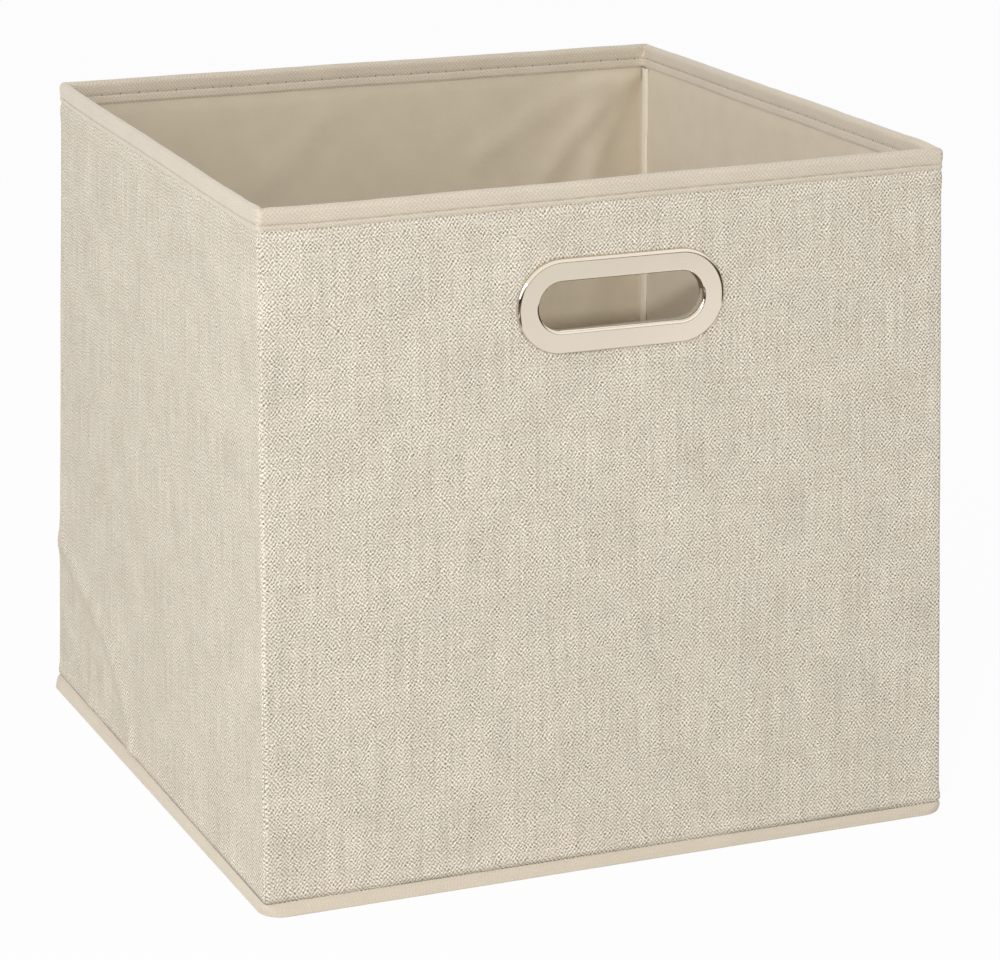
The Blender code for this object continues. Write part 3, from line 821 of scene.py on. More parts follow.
def wall_row(z, depth, setback, shares):
    """One row of a front wall sheet: its points and the way each faces outwards."""
    soft = smooth(SEAM_TOP, SEAM_TOP - LINING_CORNER_TAPER, z) if depth == LINING_DEPTH else 0.0
    least = setback * ROOT_TWO * LEAST_BEND_SHARE
    radius = max(corner_radius(z) - depth, least, LINING_CORNER_RADIUS * soft)
    centre = depth + radius - half_width(z)
    start = DIAGONAL + math.degrees(math.asin(setback / radius))
    in_seam = Vector((1.0, -1.0, 0.0)).normalized()
    ends = [(seam_point(z, SEAM_ALLOWANCE_END, setback + lean), in_seam) for lean in (SEAM_LEAN, -SEAM_LEAN)]
    bend = []
    for x, y in arc((centre, centre), radius, start, 270.0, CORNER_STEPS):
        bend.append((Vector((x, y, z)), Vector((x - centre, y - centre, 0.0)).normalized()))
    row = [ends[0], *bend]
    ahead = Vector((0.0, -1.0, 0.0))
    for share in shares[1:-1]:
        row.append((Vector((centre * (1.0 - 2.0 * share), depth - half_width(z), z)), ahead))
    for point, out in (*reversed(bend), ends[1]):
        row.append((Vector((-point.x, point.y, z)), Vector((-out.x, out.y, 0.0))))
    return row


def wall_sheet(wall, kind, levels, setback, thickness, relief, material, cutter):
    """A wall's cloth as a closed thin sheet, its relief read from across and up in metres."""
    turns = WALLS.index(wall)
    turn = Matrix.Rotation(turns * math.pi / 2, 3, "Z")
    shares = [step / COVER_HALF_RIM for step in steps(0.0, COVER_HALF_RIM, CELL / 2)]
    reference = wall_row(HEIGHT / 2, levels[len(levels) // 2][1], setback, shares)
    lengths = [0.0]
    for index in range(1, len(reference)):
        lengths.append(lengths[-1] + (reference[index][0] - reference[index - 1][0]).length)
    middle = lengths[-1] / 2
    across = [length - middle for length in lengths]
    rows, places = [], []
    for z, depth in levels:
        row = []
        for index, (point, out) in enumerate(wall_row(z, depth, setback, shares)):
            hold = 0.0 if index in (0, len(across) - 1) else 1.0
            row.append(settled(turn @ (point + out * relief(across[index], z) * hold)))
        rows.append(row)
        places.append([(step + turns * WALL_APART, z) for step in across])
    skipped = set()
    for low in range(len(levels) - 1):
        if levels[low][0] < SEAM_BOTTOM - LEVEL_SLACK or levels[low + 1][0] > SEAM_TOP + LEVEL_SLACK:
            skipped.update(((low, 0), (low, len(across) - 2)))
    hole = cutter if wall == "front" else None
    name = f"{wall}_{kind}_cloth"
    obj = cloth(name, rows, places, material, thickness, even=False, cutter=hole, skipped=skipped)
    return obj, 2.0 * middle


def hand_hole_away(across, z):
    """Distance from the metal oval's edge on the front wall, negative under it."""
    side = max(0.0, abs(across - HANDLE_SIDE_SHIFT) - OVAL_HALF_RUN)
    return math.hypot(side, z - HANDLE_HEIGHT) - FACE_RADIUS


# Folds, in millimetres: points across and up the wall, width, and height
LEFT_FOLDS = (
    (((-154, 75), (-103, 59), (-79, 52), (-46, 30), (-34, 8)), 5.5, 1.6),
    (((-150, 38), (-128, 27), (-104, 8)), 5, 0.7),
)
BACK_FOLDS = (
    (((146, 286), (118, 262), (92, 228)), 6, 1.3),
    (((146, 280), (128, 246), (112, 196)), 5, 1.1),
    (((140, 288), (100, 274), (62, 252)), 7, 0.9),
    (((-20, 280), (-52, 246)), 9, 0.6),
    (((129, 282), (127, 150)), 11, 1.7),
)


def folds(across, z, lines):
    """How far a cloth stands out along bent fold lines."""
    place = Vector((across, z)) / MM
    total = 0.0
    for points, width, height in lines:
        nearest = math.inf
        for start, end in zip(points, points[1:]):
            run = Vector(end) - Vector(start)
            gone = place - Vector(start)
            share = min(1.0, max(0.0, gone.dot(run) / run.length_squared))
            nearest = min(nearest, (gone - run * share).length)
        total += height * MM * bump(nearest, width)
    return total


# Soft waves of a cloth: height, size, and seed
COVER_SLACK = ((0.22 * MM, 55 * MM, 0.0), (0.10 * MM, 16 * MM, 3.0))
COVER_PUCKERS = ((0.16 * MM, 6 * MM, 5.0),)
COVER_SEED = 7.0
PUCKER_AWAY = 4 * MM
LINING_BROAD = ((0.35 * MM, 70 * MM, 0.0),)
LINING_FINE = ((0.16 * MM, 22 * MM, 3.0),)
LINING_SEED = 31.0
LINING_SEED_STEP = 9.0
LINING_SQUEEZE = 0.6
LINING_SLANT = 0.5

# Puffed edges of a cover: height, distance from the tape, and width
RIM_PUFF = (0.35 * MM, 5 * MM, 4 * MM)
HEM_PUFF = (0.55 * MM, 3 * MM, 2.6 * MM)

# Runs over which slack fades at the tapes, the seams and the metal oval
COVER_RIM_EASE = 3 * MM
COVER_HEM_EASE = 1.2 * MM
LINING_RIM_EASE = 5 * MM
LINING_HEM_EASE = 6 * MM
SIDE_EASE = 8 * MM


def slack(place, waves, seed):
    """Soft noise above zero: a sum of waves."""
    return sum(height * (1.0 + ripple(place, size, seed + more)) for height, size, more in waves)


def cover_relief(wall):
    """How far a cover stands off its board: slack cloth, puckers at the seams, folds."""
    seed = COVER_SEED * (WALLS.index(wall) + 1)

    def relief(across, z):
        side = half_width(z) - abs(across)
        total = slack((across, z, 0.0), COVER_SLACK, seed)
        total += slack((side, z, 0.0), COVER_PUCKERS, seed) * bump(side - PUCKER_AWAY, PUCKER_AWAY)
        below_rim = HEIGHT - RIM_OUTER_LEG - z
        above_hem = z - HEM_HEIGHT
        for away, (height, middle, width) in ((below_rim, RIM_PUFF), (above_hem, HEM_PUFF)):
            total += height * bump(away - middle, width)
        if wall == "left":
            total += folds(across, z, LEFT_FOLDS)
        total *= smooth(0.0, COVER_RIM_EASE, below_rim) * smooth(0.0, COVER_HEM_EASE, above_hem)
        if wall == "front":
            total *= smooth(-MM, SIDE_EASE, hand_hole_away(across, z))
        return total

    return relief


def lining_relief(wall):
    """How far a lining hangs off its board into the basket."""
    seed = LINING_SEED + LINING_SEED_STEP * WALLS.index(wall)
    washer_edge = FACE_RADIUS - WASHER_RADIUS - WASHER_BAND

    def relief(across, z):
        total = slack((across, z * LINING_SQUEEZE, 0.0), LINING_BROAD, seed)
        total += slack((across + z * LINING_SLANT, z, 0.0), LINING_FINE, seed)
        if wall == "back":
            total += folds(-across, z, BACK_FOLDS)
        below_rim = HEIGHT - RIM_INNER_LEG - z
        total *= smooth(0.0, LINING_RIM_EASE, below_rim) * smooth(0.0, LINING_HEM_EASE, z - JOG_TOP)
        total *= smooth(0.0, SIDE_EASE, half_width(z) - abs(across))
        if wall == "front":
            total *= smooth(0.0, SIDE_EASE, hand_hole_away(across, z) + washer_edge)
        return -total

    return relief


def oval_points(radius, depth, count=OVAL_STEPS):
    """An oval with straight long sides, in the hand hole's own frame."""
    points = []
    for middle, start in ((OVAL_HALF_RUN, -90.0), (-OVAL_HALF_RUN, 90.0)):
        for x, z in arc((middle, 0.0), radius, start, start + 180.0, count):
            points.append(Vector((x, depth, z)))
    return points


HANDLE_FRAME = (
    Matrix.Translation((HANDLE_SIDE_SHIFT, -half_width(HANDLE_HEIGHT), HANDLE_HEIGHT))
    @ Matrix.Rotation(-WALL_LEAN, 4, "X")
)
SHARP_EDGE = math.radians(40.0)
CUT_DEPTHS = (-4 * MM, 8 * MM)


def oval_solid(name, profile, material):
    """A closed (radius, depth) profile carried round the oval."""
    rings = [[HANDLE_FRAME @ point for point in oval_points(radius, depth)] for radius, depth in profile]
    count = len(rings[0])
    faces = []
    for low in range(len(rings)):
        for left in range(count):
            corners = quad(low, left)
            faces.append(tuple(row % len(rings) * count + column % count for row, column in corners))
    obj = make_object(name, closed_mesh(name, sum(rings, []), faces), material)
    obj.data.set_sharp_from_angle(angle=SHARP_EDGE)
    return obj


def hand_hole_cutter():
    """Oval block that cuts the cloths, taken away afterwards."""
    near, far = (oval_points(CUT_RADIUS, depth) for depth in CUT_DEPTHS)
    count = len(near)
    faces = [tuple(range(count)), tuple(reversed(range(count, 2 * count)))]
    faces += [(i, count + i, count + (i + 1) % count, (i + 1) % count) for i in range(count)]
    vertices = [HANDLE_FRAME @ point for point in near + far]
    return linked("hand_hole_cutter", closed_mesh("hand_hole_cutter", vertices, faces))


def make_walls():
    """The four covers and the four linings."""
    cutter = hand_hole_cutter()
    hem_run = (CLOTH_BOTTOM, HEM_HEIGHT, CELL)
    upper_runs = ((SEAM_BOTTOM, SEAM_TOP, CELL), (SEAM_TOP, CLOTH_TOP, CELL))
    cover_levels = [(z, 0.0) for z in chain(hem_run, (HEM_HEIGHT, SEAM_BOTTOM, MM), *upper_runs)]
    lining_levels = [(z, HEM_LINING_DEPTH) for z in (*steps(*hem_run), JOG_BOTTOM)]
    lining_levels += [(z, LINING_DEPTH) for z in chain(*upper_runs)]
    kinds = (
        ("cover", "woven_cover", cover_levels, COVER_SETBACK, COVER_THICKNESS, cover_relief, WOVEN),
        ("lining", "lining_cloth", lining_levels, LINING_SETBACK, LINING_THICKNESS, lining_relief, LINING),
    )
    made = {}
    for wall in WALLS:
        for kind, slot, levels, setback, thickness, relief, material in kinds:
            obj, length = wall_sheet(wall, kind, levels, setback, thickness, relief(wall), material, cutter)
            keep(obj, BASKET, slot, f"{wall}_{kind}")
            made[wall, kind] = (obj, length)
    bpy.data.objects.remove(cutter, do_unlink=True)
    for wall in WALLS:
        cover, length = made[wall, "cover"]
    return {wall: made[wall, "lining"] for wall in WALLS}


def make_boards():
    """The wall boards, moved with their cloths, and greyboard on the base board."""
    for wall in WALLS:
        mesh = bpy.data.objects[f"{wall}_board"].data.copy()
        for vertex in mesh.vertices:
            vertex.co = settled(vertex.co)
        board = make_object(f"{wall}_greyboard", mesh, GREYBOARD)
        mesh.set_sharp_from_angle(angle=SHARP_EDGE)
        keep(board, BASKET, "greyboard", f"{wall}_board")
    for place in bpy.data.objects["insert_board"].material_slots:
        place.material = GREYBOARD


# Tapes that go round the basket


class SquarePath:
    """A way round a square with round corners, measured from the front wall's left end."""

    def __init__(self, half, radius):
        self.straight = 2.0 * (half - radius)
        self.bend = math.pi / 2 * radius
        self.side = self.straight + self.bend
        self.length = 4.0 * self.side

    def stations(self, cell):
        """Places along the way: close together in the corners."""
        found = []
        for quarter in range(4):
            start = quarter * self.side
            found += steps(start, start + self.straight, cell)[:-1]
            found += steps(start + self.straight, start + self.side, self.bend / CORNER_STEPS)[:-1]
        return found

    def at(self, along, half, radius):
        """The point and the outward way in plan on an outline of another size."""
        along = along % self.length
        quarter = int(along // self.side)
        rest = along - quarter * self.side
        if rest < self.straight:
            point = Vector(((half - radius) * (2.0 * rest / self.straight - 1.0), -half, 0.0))
            out = Vector((0.0, -1.0, 0.0))
        else:
            angle = math.pi / 2 * ((rest - self.straight) / self.bend - 1.0)
            out = Vector((math.cos(angle), math.sin(angle), 0.0))
            point = Vector((half - radius, radius - half, 0.0)) + out * radius
        turn = Matrix.Rotation(quarter * math.pi / 2, 3, "Z")
        return turn @ point, turn @ out


def section_normals(profile):
    """The way that each point of an open profile faces, to the left of its run."""
    ways = []
    for index in range(len(profile)):
        before = profile[max(0, index - 1)]
        after = profile[min(len(profile) - 1, index + 1)]
        run = Vector((after[0] - before[0], after[1] - before[1])).normalized()
        ways.append(Vector((-run.y, run.x)))
    return ways


def tape_point(path, along, place, way, lift, placed, outline):
    """A point of a tape: its profile place moved by a lift along its way, then put in its place."""
    depth = place[0] + way.x * lift
    z = place[1] + way.y * lift
    half, radius = outline(depth, z)
    point, out = path.at(along, half, radius)
    return placed(along, Vector((point.x, point.y, z))), out


def as_drawn(along, point):
    """A point left where its profile has it."""
    return point


def with_walls(along, point):
    """A point moved with the walls that it is sewn to."""
    return settled(point)


def wall_outline(depth, z):
    """Half width and corner radius a depth inside the covers' outer face."""
    return half_width(z) - depth, max(corner_radius(z) - depth, LEAST_RADIUS)


def insert_outline(depth, z):
    """Half width and corner radius a depth inside the base board's edge."""
    return INSERT_HALF - depth, max(INSERT_CORNER_RADIUS - depth, LEAST_RADIUS)


def profile_lengths(profile):
    """Distance along a profile to each of its points."""
    lengths = [0.0]
    for first, second in zip(profile, profile[1:]):
        lengths.append(lengths[-1] + math.hypot(second[0] - first[0], second[1] - first[1]))
    return lengths


def tape(name, path, profile, lift, placed, outline, material):
    """A tape swept round a path, its face lifted and placed by rules and then thickened."""
    stations = path.stations(TAPE_CELL)
    ways = section_normals(profile)
    lengths = profile_lengths(profile)
    rows, places = [], []
    for place, way, length in zip(profile, ways, lengths):
        row = []
        for along in stations:
            row.append(tape_point(path, along, place, way, lift(along, place), placed, outline)[0])
        rows.append(row)
        places.append([(along, length) for along in stations] + [(path.length, length)])
    return cloth(name, rows, places, material, TAPE_THICKNESS, ring=True), lengths[-1]


def thread_mesh(name, stitches, body):
    """Stitches as one piece of a body: each a list of (point, outward way) rings from hole to hole."""
    vertices, faces = [], []
    for rings in stitches:
        start = len(vertices)
        for index, (point, out) in enumerate(rings):
            before = rings[max(0, index - 1)][0]
            after = rings[min(len(rings) - 1, index + 1)][0]
            run = (after - before).normalized()
            side = run.cross(out).normalized()
            up = side.cross(run)
            share = index / (len(rings) - 1)
            swell = math.sin(math.pi * share)
            radius = THREAD_RADIUS * (THREAD_END_SHARE + (1.0 - THREAD_END_SHARE) * swell)
            for step in range(THREAD_SIDES):
                angle = 2.0 * math.pi * step / THREAD_SIDES
                vertices.append(tuple(point + (side * math.cos(angle) + up * math.sin(angle)) * radius))
        for ring in range(len(rings) - 1):
            for step in range(THREAD_SIDES):
                low = start + ring * THREAD_SIDES
                high = low + THREAD_SIDES
                after = (step + 1) % THREAD_SIDES
                faces.append((low + step, low + after, high + after, high + step))
        last = start + (len(rings) - 1) * THREAD_SIDES
        faces.append(tuple(range(start + THREAD_SIDES - 1, start - 1, -1)))
        faces.append(tuple(range(last, last + THREAD_SIDES)))
    mesh = bpy.data.meshes.new(name)
    mesh.from_pydata(vertices, [], faces)
    return keep(make_object(name, mesh, THREAD), body, "binding_tape")


def stitch_run(length, count, surface, loose=0.0):
    """Stitches along a run of a surface, which gives a point and a way for a place along."""
    pitch = length / count
    made = []
    for index in range(count):
        rings = []
        for ring in range(THREAD_RINGS):
            share = ring / (THREAD_RINGS - 1)
            along = (index + 0.5 + (share - 0.5) * THREAD_LOOP_SHARE) * pitch
            point, out = surface(along)
            hill = math.sin(math.pi * share) ** THREAD_ROUNDNESS
            rise = THREAD_RADIUS * (THREAD_RISE * hill - THREAD_SINK)
            wander = loose * ripple((along, index * THREAD_APART, 0.0), THREAD_WANDER_SIZE, THREAD_SEED)
            rings.append((point + out * rise + Vector((0.0, 0.0, wander)), out))
        made.append(rings)
    return made


# Rim tape

RIM_PATH = SquarePath(*wall_outline(RIM_FOLD_DEPTH, CLOTH_TOP))
RIM_STITCH_HEIGHT = HEIGHT - RIM_STITCH_DROP
FRONT_RIGHT_ALONG = RIM_PATH.straight + RIM_PATH.bend / 2
RIM_FOLD_RUN = math.pi * RIM_FOLD_RADIUS - 2.0 * (HEIGHT - CLOTH_TOP)

# Rows of needle holes with painted shade: place up the tape, and darkness of the shade
RIM_STITCH_ROWS = (
    (RIM_OUTER_LEG - RIM_STITCH_DROP, 0.22),
    (RIM_OUTER_LEG + RIM_STITCH_DROP + RIM_FOLD_RUN, 0.65),
)
RIM_STITCH = RIM_PATH.length / RIM_STITCHES
RIM_TAPE = nonwoven_material("rim_tape", *RIM_TAPE_LOOK, RIM_STITCH, RIM_STITCH_ROWS)


def corner_away(path, along):
    """Distance along a path to the middle of its nearest corner."""
    rest = (along + path.bend / 2) % path.side
    return min(rest, path.side - rest)


# The outer and the inner side: leg, how deep its edge is pressed in, and seed
RIM_SIDES = ((RIM_OUTER_LEG, 0.2 * MM, 9.0), (RIM_INNER_LEG, 0.4 * MM, 4.0))
RIM_WAVES = ((0.16 * MM, 14 * MM, 0.0),)
RIM_TOP_PUFF = 0.22 * MM
RIM_STITCH_PRESS = (0.14 * MM, 0.75 * MM)
RIM_SEAM_RUN = 1.3 * MM
RIM_WOBBLE = (0.22 * MM, 45 * MM, 1.5)
SOFT_CORNER = (0.8 * MM, 9 * MM)
RIM_FOLD_STEPS = 14
RIM_THREAD_WANDER = 0.15 * MM


def rim_lift(along, place):
    """Puff of the rim tape between its edges, pressed in along the stitches and at its edges."""
    depth, z = place
    point, _ = RIM_PATH.at(along, COVER_HALF_RIM, RIM_CORNER_RADIUS)
    inside = depth > RIM_FOLD_DEPTH
    leg, edge_press, seed = RIM_SIDES[inside]
    above = smooth(RIM_STITCH_HEIGHT, CLOTH_TOP, z)
    end = 1.0 - smooth(HEIGHT - leg, HEIGHT - leg + RIM_EDGE_RUN, z)
    puff = slack((point.x, point.y, z), RIM_WAVES, seed) + RIM_TOP_PUFF * above
    puff = puff * (1.0 - end) - edge_press * end
    press = bump(z - RIM_STITCH_HEIGHT, RIM_STITCH_PRESS[1])
    lift = puff * (1.0 - press) - RIM_STITCH_PRESS[0] * press
    if inside:
        ridge = RIM_SEAM_RIDGE * (1.0 - above) * (1.0 - end) - RIM_SEAM_CREASE * above
        lift += ridge * bump(corner_away(RIM_PATH, along), RIM_SEAM_RUN)
    return lift


def rim_place(along, point):
    """A point of the rim on its uneven edge, with the soft front right corner."""
    away = min(abs(along - FRONT_RIGHT_ALONG), RIM_PATH.length - abs(along - FRONT_RIGHT_ALONG))
    height, size, seed = RIM_WOBBLE
    wobble = height * ripple((point.x, point.y, 0.0), size, seed)
    return settled(point) + Vector((0.0, 0.0, wobble - SOFT_CORNER[0] * bump(away, SOFT_CORNER[1])))


def make_rim():
    """Rim tape with its stitches on both sides."""
    fold = (RIM_FOLD_DEPTH, CLOTH_TOP)
    profile = [(-TAPE_STAND_OFF, z) for z in steps(HEIGHT - RIM_OUTER_LEG, CLOTH_TOP, TAPE_ROW)[:-1]]
    profile += arc(fold, RIM_FOLD_RADIUS, 180.0, 0.0, RIM_FOLD_STEPS)
    inner = RIM_FOLD_DEPTH + RIM_FOLD_RADIUS
    profile += [(inner, z) for z in steps(CLOTH_TOP, HEIGHT - RIM_INNER_LEG, TAPE_ROW)[1:]]
    obj, width = tape("rim_tape", RIM_PATH, profile, rim_lift, rim_place, wall_outline, RIM_TAPE)
    keep(obj, BASKET, "binding_tape", "rim_binding")

    def face(depth, sign):
        way = Vector((sign, 0.0))

        def surface(along):
            place = (depth, RIM_STITCH_HEIGHT)
            lift = rim_lift(along, place)
            point, out = tape_point(RIM_PATH, along, place, way, lift, rim_place, wall_outline)
            return point, out * -sign

        return surface

    stitches = stitch_run(RIM_PATH.length, RIM_STITCHES, face(-TAPE_STAND_OFF, -1.0), RIM_THREAD_WANDER)
    stitches += stitch_run(RIM_PATH.length, RIM_STITCHES, face(inner, 1.0), RIM_THREAD_WANDER)
    threads = thread_mesh("rim_stitching", stitches, BASKET)


# Hem tape and cloth bottom

HEM_PATH = SquarePath(*wall_outline(0.0, HEM_HEIGHT / 2))
HEM_WAVES = ((0.14 * MM, 18 * MM, 0.0),)
HEM_SEED = 6.0
HEM_TAPE_PUFF = 0.2 * MM
HEM_EDGE_RUN = 1.2 * MM
HEM_FOLD_RUN = 2 * MM


def hem_lift(along, place):
    """Hem tape: a soft roll at its upper edge, slightly uneven."""
    depth, z = place
    point, _ = HEM_PATH.at(along, COVER_HALF_FLOOR, HEM_CORNER_RADIUS)
    if depth > 0.0 or z < HEM_FOLD_RADIUS:
        return 0.0
    puff = slack((point.x, point.y, z), HEM_WAVES, HEM_SEED) + HEM_TAPE_PUFF
    roll = smooth(HEM_HEIGHT, HEM_HEIGHT - HEM_EDGE_RUN, z)
    puff *= smooth(HEM_FOLD_RADIUS, HEM_FOLD_RADIUS + HEM_FOLD_RUN, z)
    return puff * roll - HEM_TAPE_PUFF * (1.0 - roll)


def make_hem():
    """Hem tape under the walls' lower edge."""
    outer_fold = (HEM_FOLD_RADIUS - TAPE_STAND_OFF, HEM_FOLD_RADIUS)
    inner_fold = (HEM_INNER_DEPTH - HEM_FOLD_RADIUS, HEM_FOLD_RADIUS)
    profile = [(HEM_INNER_DEPTH, z) for z in steps(HEM_INNER_TOP, HEM_FOLD_RADIUS, MM)[:-1]]
    profile += arc(inner_fold, HEM_FOLD_RADIUS, 360.0, 270.0, BEND_STEPS)
    profile += arc(outer_fold, HEM_FOLD_RADIUS, 270.0, 180.0, BEND_STEPS)
    profile += [(-TAPE_STAND_OFF, z) for z in steps(HEM_FOLD_RADIUS, HEM_HEIGHT, TAPE_ROW)[1:]]
    obj, width = tape("hem_tape", HEM_PATH, profile, hem_lift, with_walls, wall_outline, TAPE)
    keep(obj, BASKET, "binding_tape", "bottom_binding")


def ring_sheet(name, half, radius, profile, relief, placed, thickness, material):
    """A flat cloth of rings from its edge to its middle; the profile gives (depth, height)."""
    path = SquarePath(half, radius)
    stations = path.stations(CLOTH_CELL)
    rows, places = [], []
    for depth, z in profile:
        row = []
        for along in stations:
            point, _ = path.at(along, half - depth, max(radius - depth, LEAST_RADIUS))
            row.append(placed(along, Vector((point.x, point.y, z + relief(point.x, point.y, depth)))))
        rows.append(row)
        flat = [(point.x, point.y) for point in row]
        places.append(flat + flat[:1])
    return cloth(name, rows, places, material, thickness, ring=True, capped=True)


BOTTOM_SLACK = ((0.25 * MM, 60 * MM, 0.0),)
BOTTOM_SEED = 12.0
BOTTOM_EASE = (2 * MM, 30 * MM)
PANEL_BEND_STEPS = 4
EDGE_ROW = 2 * MM


def middle_rings(half, start):
    """Depths of rings from a start to just short of a cloth's middle."""
    return steps(start, half - CLOTH_CELL / 2, CLOTH_CELL)


def make_bottom():
    """Cloth bottom, hung a little in its middle, its edge turned down into the hem."""
    half, radius = wall_outline(FLANGE_DEPTH, HEM_HEIGHT / 2)
    bend = (PANEL_BEND_RADIUS, PANEL_TOP - PANEL_BEND_RADIUS)
    profile = [(0.0, z) for z in steps(CLOTH_BOTTOM, bend[1], EDGE_ROW)[:-1]]
    profile += arc(bend, PANEL_BEND_RADIUS, 180.0, 90.0, PANEL_BEND_STEPS)
    profile += [(depth, PANEL_TOP) for depth in middle_rings(half, PANEL_BEND_RADIUS)[1:]]

    def relief(x, y, depth):
        return -slack((x, y, 0.0), BOTTOM_SLACK, BOTTOM_SEED) * smooth(*BOTTOM_EASE, depth)

    obj = ring_sheet("bottom_cloth", half, radius, profile, relief, with_walls, PANEL_THICKNESS, LINING)
    keep(obj, BASKET, "lining_cloth", "bottom_panel")


# Bound seams inside the corners

# Sway and short jogs of a seam's edge: height, size, and seed
SEAM_SWAY = (0.28 * MM, 24 * MM, 3.0)
SEAM_JOG = (0.16 * MM, 5 * MM, 8.0)
SEAM_APART = 0.5


def seam_row(turns, profile, z):
    """One row of a corner's seam tape, which leans to one side and is pinched by its stitches."""
    turn = Matrix.Rotation(turns * math.pi / 2, 3, "Z")
    place = (0.0, turns * SEAM_APART, z)
    sway, jog = (height * ripple(place, size, seed) for height, size, seed in (SEAM_SWAY, SEAM_JOG))
    stitch = 0.5 + 0.5 * math.cos(2.0 * math.pi * z / SEAM_STITCH)
    row = []
    for along, side in profile:
        far = smooth(SEAM_FOOT, SEAM_ALLOWANCE_END, along)
        lean = SEAM_LEAN * (along - SEAM_ROOT) / (SEAM_ALLOWANCE_END - SEAM_ROOT)
        pinch = 1.0 - SEAM_PINCH_SHARE * stitch * bump(along - SEAM_ALLOWANCE_END, MM)
        row.append(settled(turn @ seam_point(z, along + jog * far, side * pinch + sway * far + lean)))
    return row


def make_seams():
    """A tape folded over each corner's seam allowances, wavy from its stitches."""
    outer = SEAM_TAPE_OUTER
    profile = [(along, outer) for along in steps(SEAM_FOOT, SEAM_ALLOWANCE_END, SEAM_ROW)[:-1]]
    profile += arc((SEAM_ALLOWANCE_END, 0.0), outer, 90.0, -90.0, BEND_STEPS)
    profile += [(along, -outer) for along in steps(SEAM_ALLOWANCE_END, SEAM_FOOT, SEAM_ROW)[1:]]
    lengths = profile_lengths(profile)
    levels = steps(SEAM_BOTTOM, SEAM_TOP, SEAM_ROW)
    places = [[(z, length) for length in lengths] for z in levels]
    for turns, corner in enumerate(CORNERS):
        rows = [seam_row(turns, profile, z) for z in levels]
        obj = cloth(f"{corner}_seam_tape", rows, places, SEAM_TAPE, SEAM_TAPE_THICKNESS)
        keep(obj, BASKET, "binding_tape", f"{corner}_seam_binding")


# Base board

INSERT_SLACK = (0.16 * MM, 50 * MM, 21.0)
INSERT_EASE = 20 * MM
INSERT_TAPE_WAVES = (0.06 * MM, 16 * MM, 14.0)
INSERT_STITCH_PRESS = 0.12 * MM


def make_insert():
    """The loose base board's cloths and edge tape."""
    top = INSERT_BOTTOM + INSERT_THICKNESS
    half = INSERT_HALF - INSERT_CLOTH_INSET
    radius = INSERT_CORNER_RADIUS - INSERT_CLOTH_INSET
    free = INSERT_TAPE_LEG - INSERT_CLOTH_INSET
    depths = steps(0.0, free, EDGE_ROW)[:-1] + middle_rings(half, free)
    for name, node_name, z, up in (
        ("insert_top_cloth", "insert_top_cover", top - TAPE_STAND_OFF, 1.0),
        ("insert_bottom_cloth", "insert_bottom_cover", INSERT_BOTTOM + TAPE_STAND_OFF, -1.0),
    ):

        def relief(x, y, depth):
            height, size, seed = INSERT_SLACK
            return height * ripple((x, y * up, 0.0), size, seed) * smooth(free, free + INSERT_EASE, depth)

        profile = [(depth, z) for depth in depths]
        thickness = up * INSERT_CLOTH_THICKNESS
        obj = ring_sheet(name, half, radius, profile, relief, as_drawn, thickness, LINING)
        keep(obj, INSERT, "lining_cloth", node_name)
    path = SquarePath(INSERT_HALF, INSERT_CORNER_RADIUS)
    bend = INSERT_THICKNESS / 2
    profile = [(depth, INSERT_BOTTOM) for depth in steps(INSERT_TAPE_LEG, bend, MM)[:-1]]
    profile += arc((bend, INSERT_BOTTOM + bend), bend, 270.0, 90.0, 2 * BEND_STEPS)
    profile += [(depth, top) for depth in steps(bend, INSERT_TAPE_LEG, MM)[1:]]

    def lift(along, place):
        point, _ = path.at(along, INSERT_HALF, INSERT_CORNER_RADIUS)
        press = bump(place[0] - INSERT_STITCH_INSET, MM)
        height, size, seed = INSERT_TAPE_WAVES
        uneven = height * ripple((point.x, point.y, place[1]), size, seed)
        return uneven * (1.0 - press) - INSERT_STITCH_PRESS * press

    edge, width = tape("insert_edge_tape", path, profile, lift, as_drawn, insert_outline, TAPE)
    keep(edge, INSERT, "binding_tape", "insert_edge_binding")

    def face(z, sign):
        def surface(along):
            point, _ = path.at(along, *insert_outline(INSERT_STITCH_INSET, z))
            return Vector((point.x, point.y, z)), Vector((0.0, 0.0, sign))

        return surface

    stitches = stitch_run(path.length, INSERT_STITCHES, face(top, 1.0))
    stitches += stitch_run(path.length, INSERT_STITCHES, face(INSERT_BOTTOM, -1.0))
    threads = thread_mesh("insert_stitching", stitches, INSERT)


# Metal oval

OUTER_EDGE_DEPTH = 0.02 * MM
WASHER_EDGE_STEPS = 4


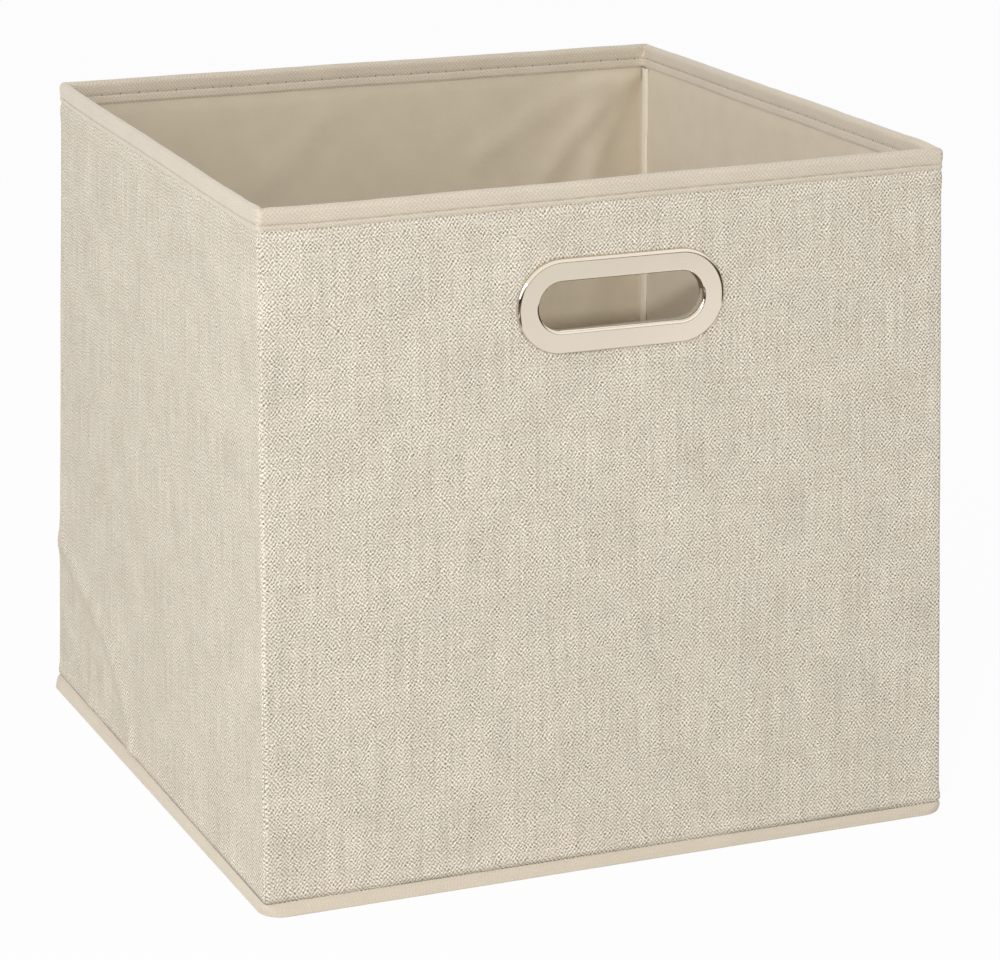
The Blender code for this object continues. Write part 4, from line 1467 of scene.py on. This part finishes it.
def make_oval():
    """The pressed oval and the plate that it is clinched over inside the wall."""
    face_depth = -FACE_PROUD
    lip_far = LIP_DEPTH + METAL_THICKNESS
    lip_bend = LIP_INNER_BEND + METAL_THICKNESS
    lip_reach = HOLE_RADIUS + lip_bend + LIP_LENGTH
    outer_centre = (FACE_RADIUS - FACE_OUTER_BEND, face_depth + FACE_OUTER_BEND)
    inner_centre = (HOLE_RADIUS + FACE_INNER_BEND, face_depth + FACE_INNER_BEND)
    lip_centre = (HOLE_RADIUS + lip_bend, lip_far - lip_bend)
    profile = [(FACE_RADIUS, OUTER_EDGE_DEPTH)]
    profile += arc(outer_centre, FACE_OUTER_BEND, 0.0, -90.0, 2 * BEND_STEPS)
    profile += [(outer_centre[0] - FACE_EDGE_RUN, face_depth), (inner_centre[0] + FACE_EDGE_RUN, face_depth)]
    profile += arc(inner_centre, FACE_INNER_BEND, 270.0, 180.0, BEND_STEPS)
    profile += arc(lip_centre, lip_bend, 180.0, 90.0, BEND_STEPS)
    profile += [(lip_reach, lip_far), (lip_reach, LIP_DEPTH)]
    profile += arc(lip_centre, LIP_INNER_BEND, 90.0, 180.0, BEND_STEPS)
    profile += arc(inner_centre, FACE_INNER_BEND - METAL_THICKNESS, 180.0, 270.0, BEND_STEPS)
    profile += arc(outer_centre, FACE_OUTER_BEND - METAL_THICKNESS, -90.0, 0.0, BEND_STEPS)
    profile += [(FACE_RADIUS - METAL_THICKNESS, OUTER_EDGE_DEPTH)]
    oval = oval_solid("metal_oval", profile, NICKEL)
    keep(oval, BASKET, "polished_metal", "handle_ring")
    edge = WASHER_RADIUS + WASHER_BAND
    near, far = WASHER_DEPTH, WASHER_DEPTH + WASHER_THICKNESS
    round_edge = arc((edge - WASHER_EDGE, far - WASHER_EDGE), WASHER_EDGE, 90.0, 0.0, WASHER_EDGE_STEPS)
    plate = [(WASHER_RADIUS, near), (WASHER_RADIUS, far), *round_edge, (edge, near)]
    washer = oval_solid("metal_washer", plate, NICKEL)
    keep(washer, BASKET, "polished_metal", "handle_washer")


make_boards()
wall_linings = make_walls()
make_rim()
make_hem()
make_bottom()
make_seams()
make_insert()
make_oval()

bpy.context.scene.view_settings.view_transform = "Standard"
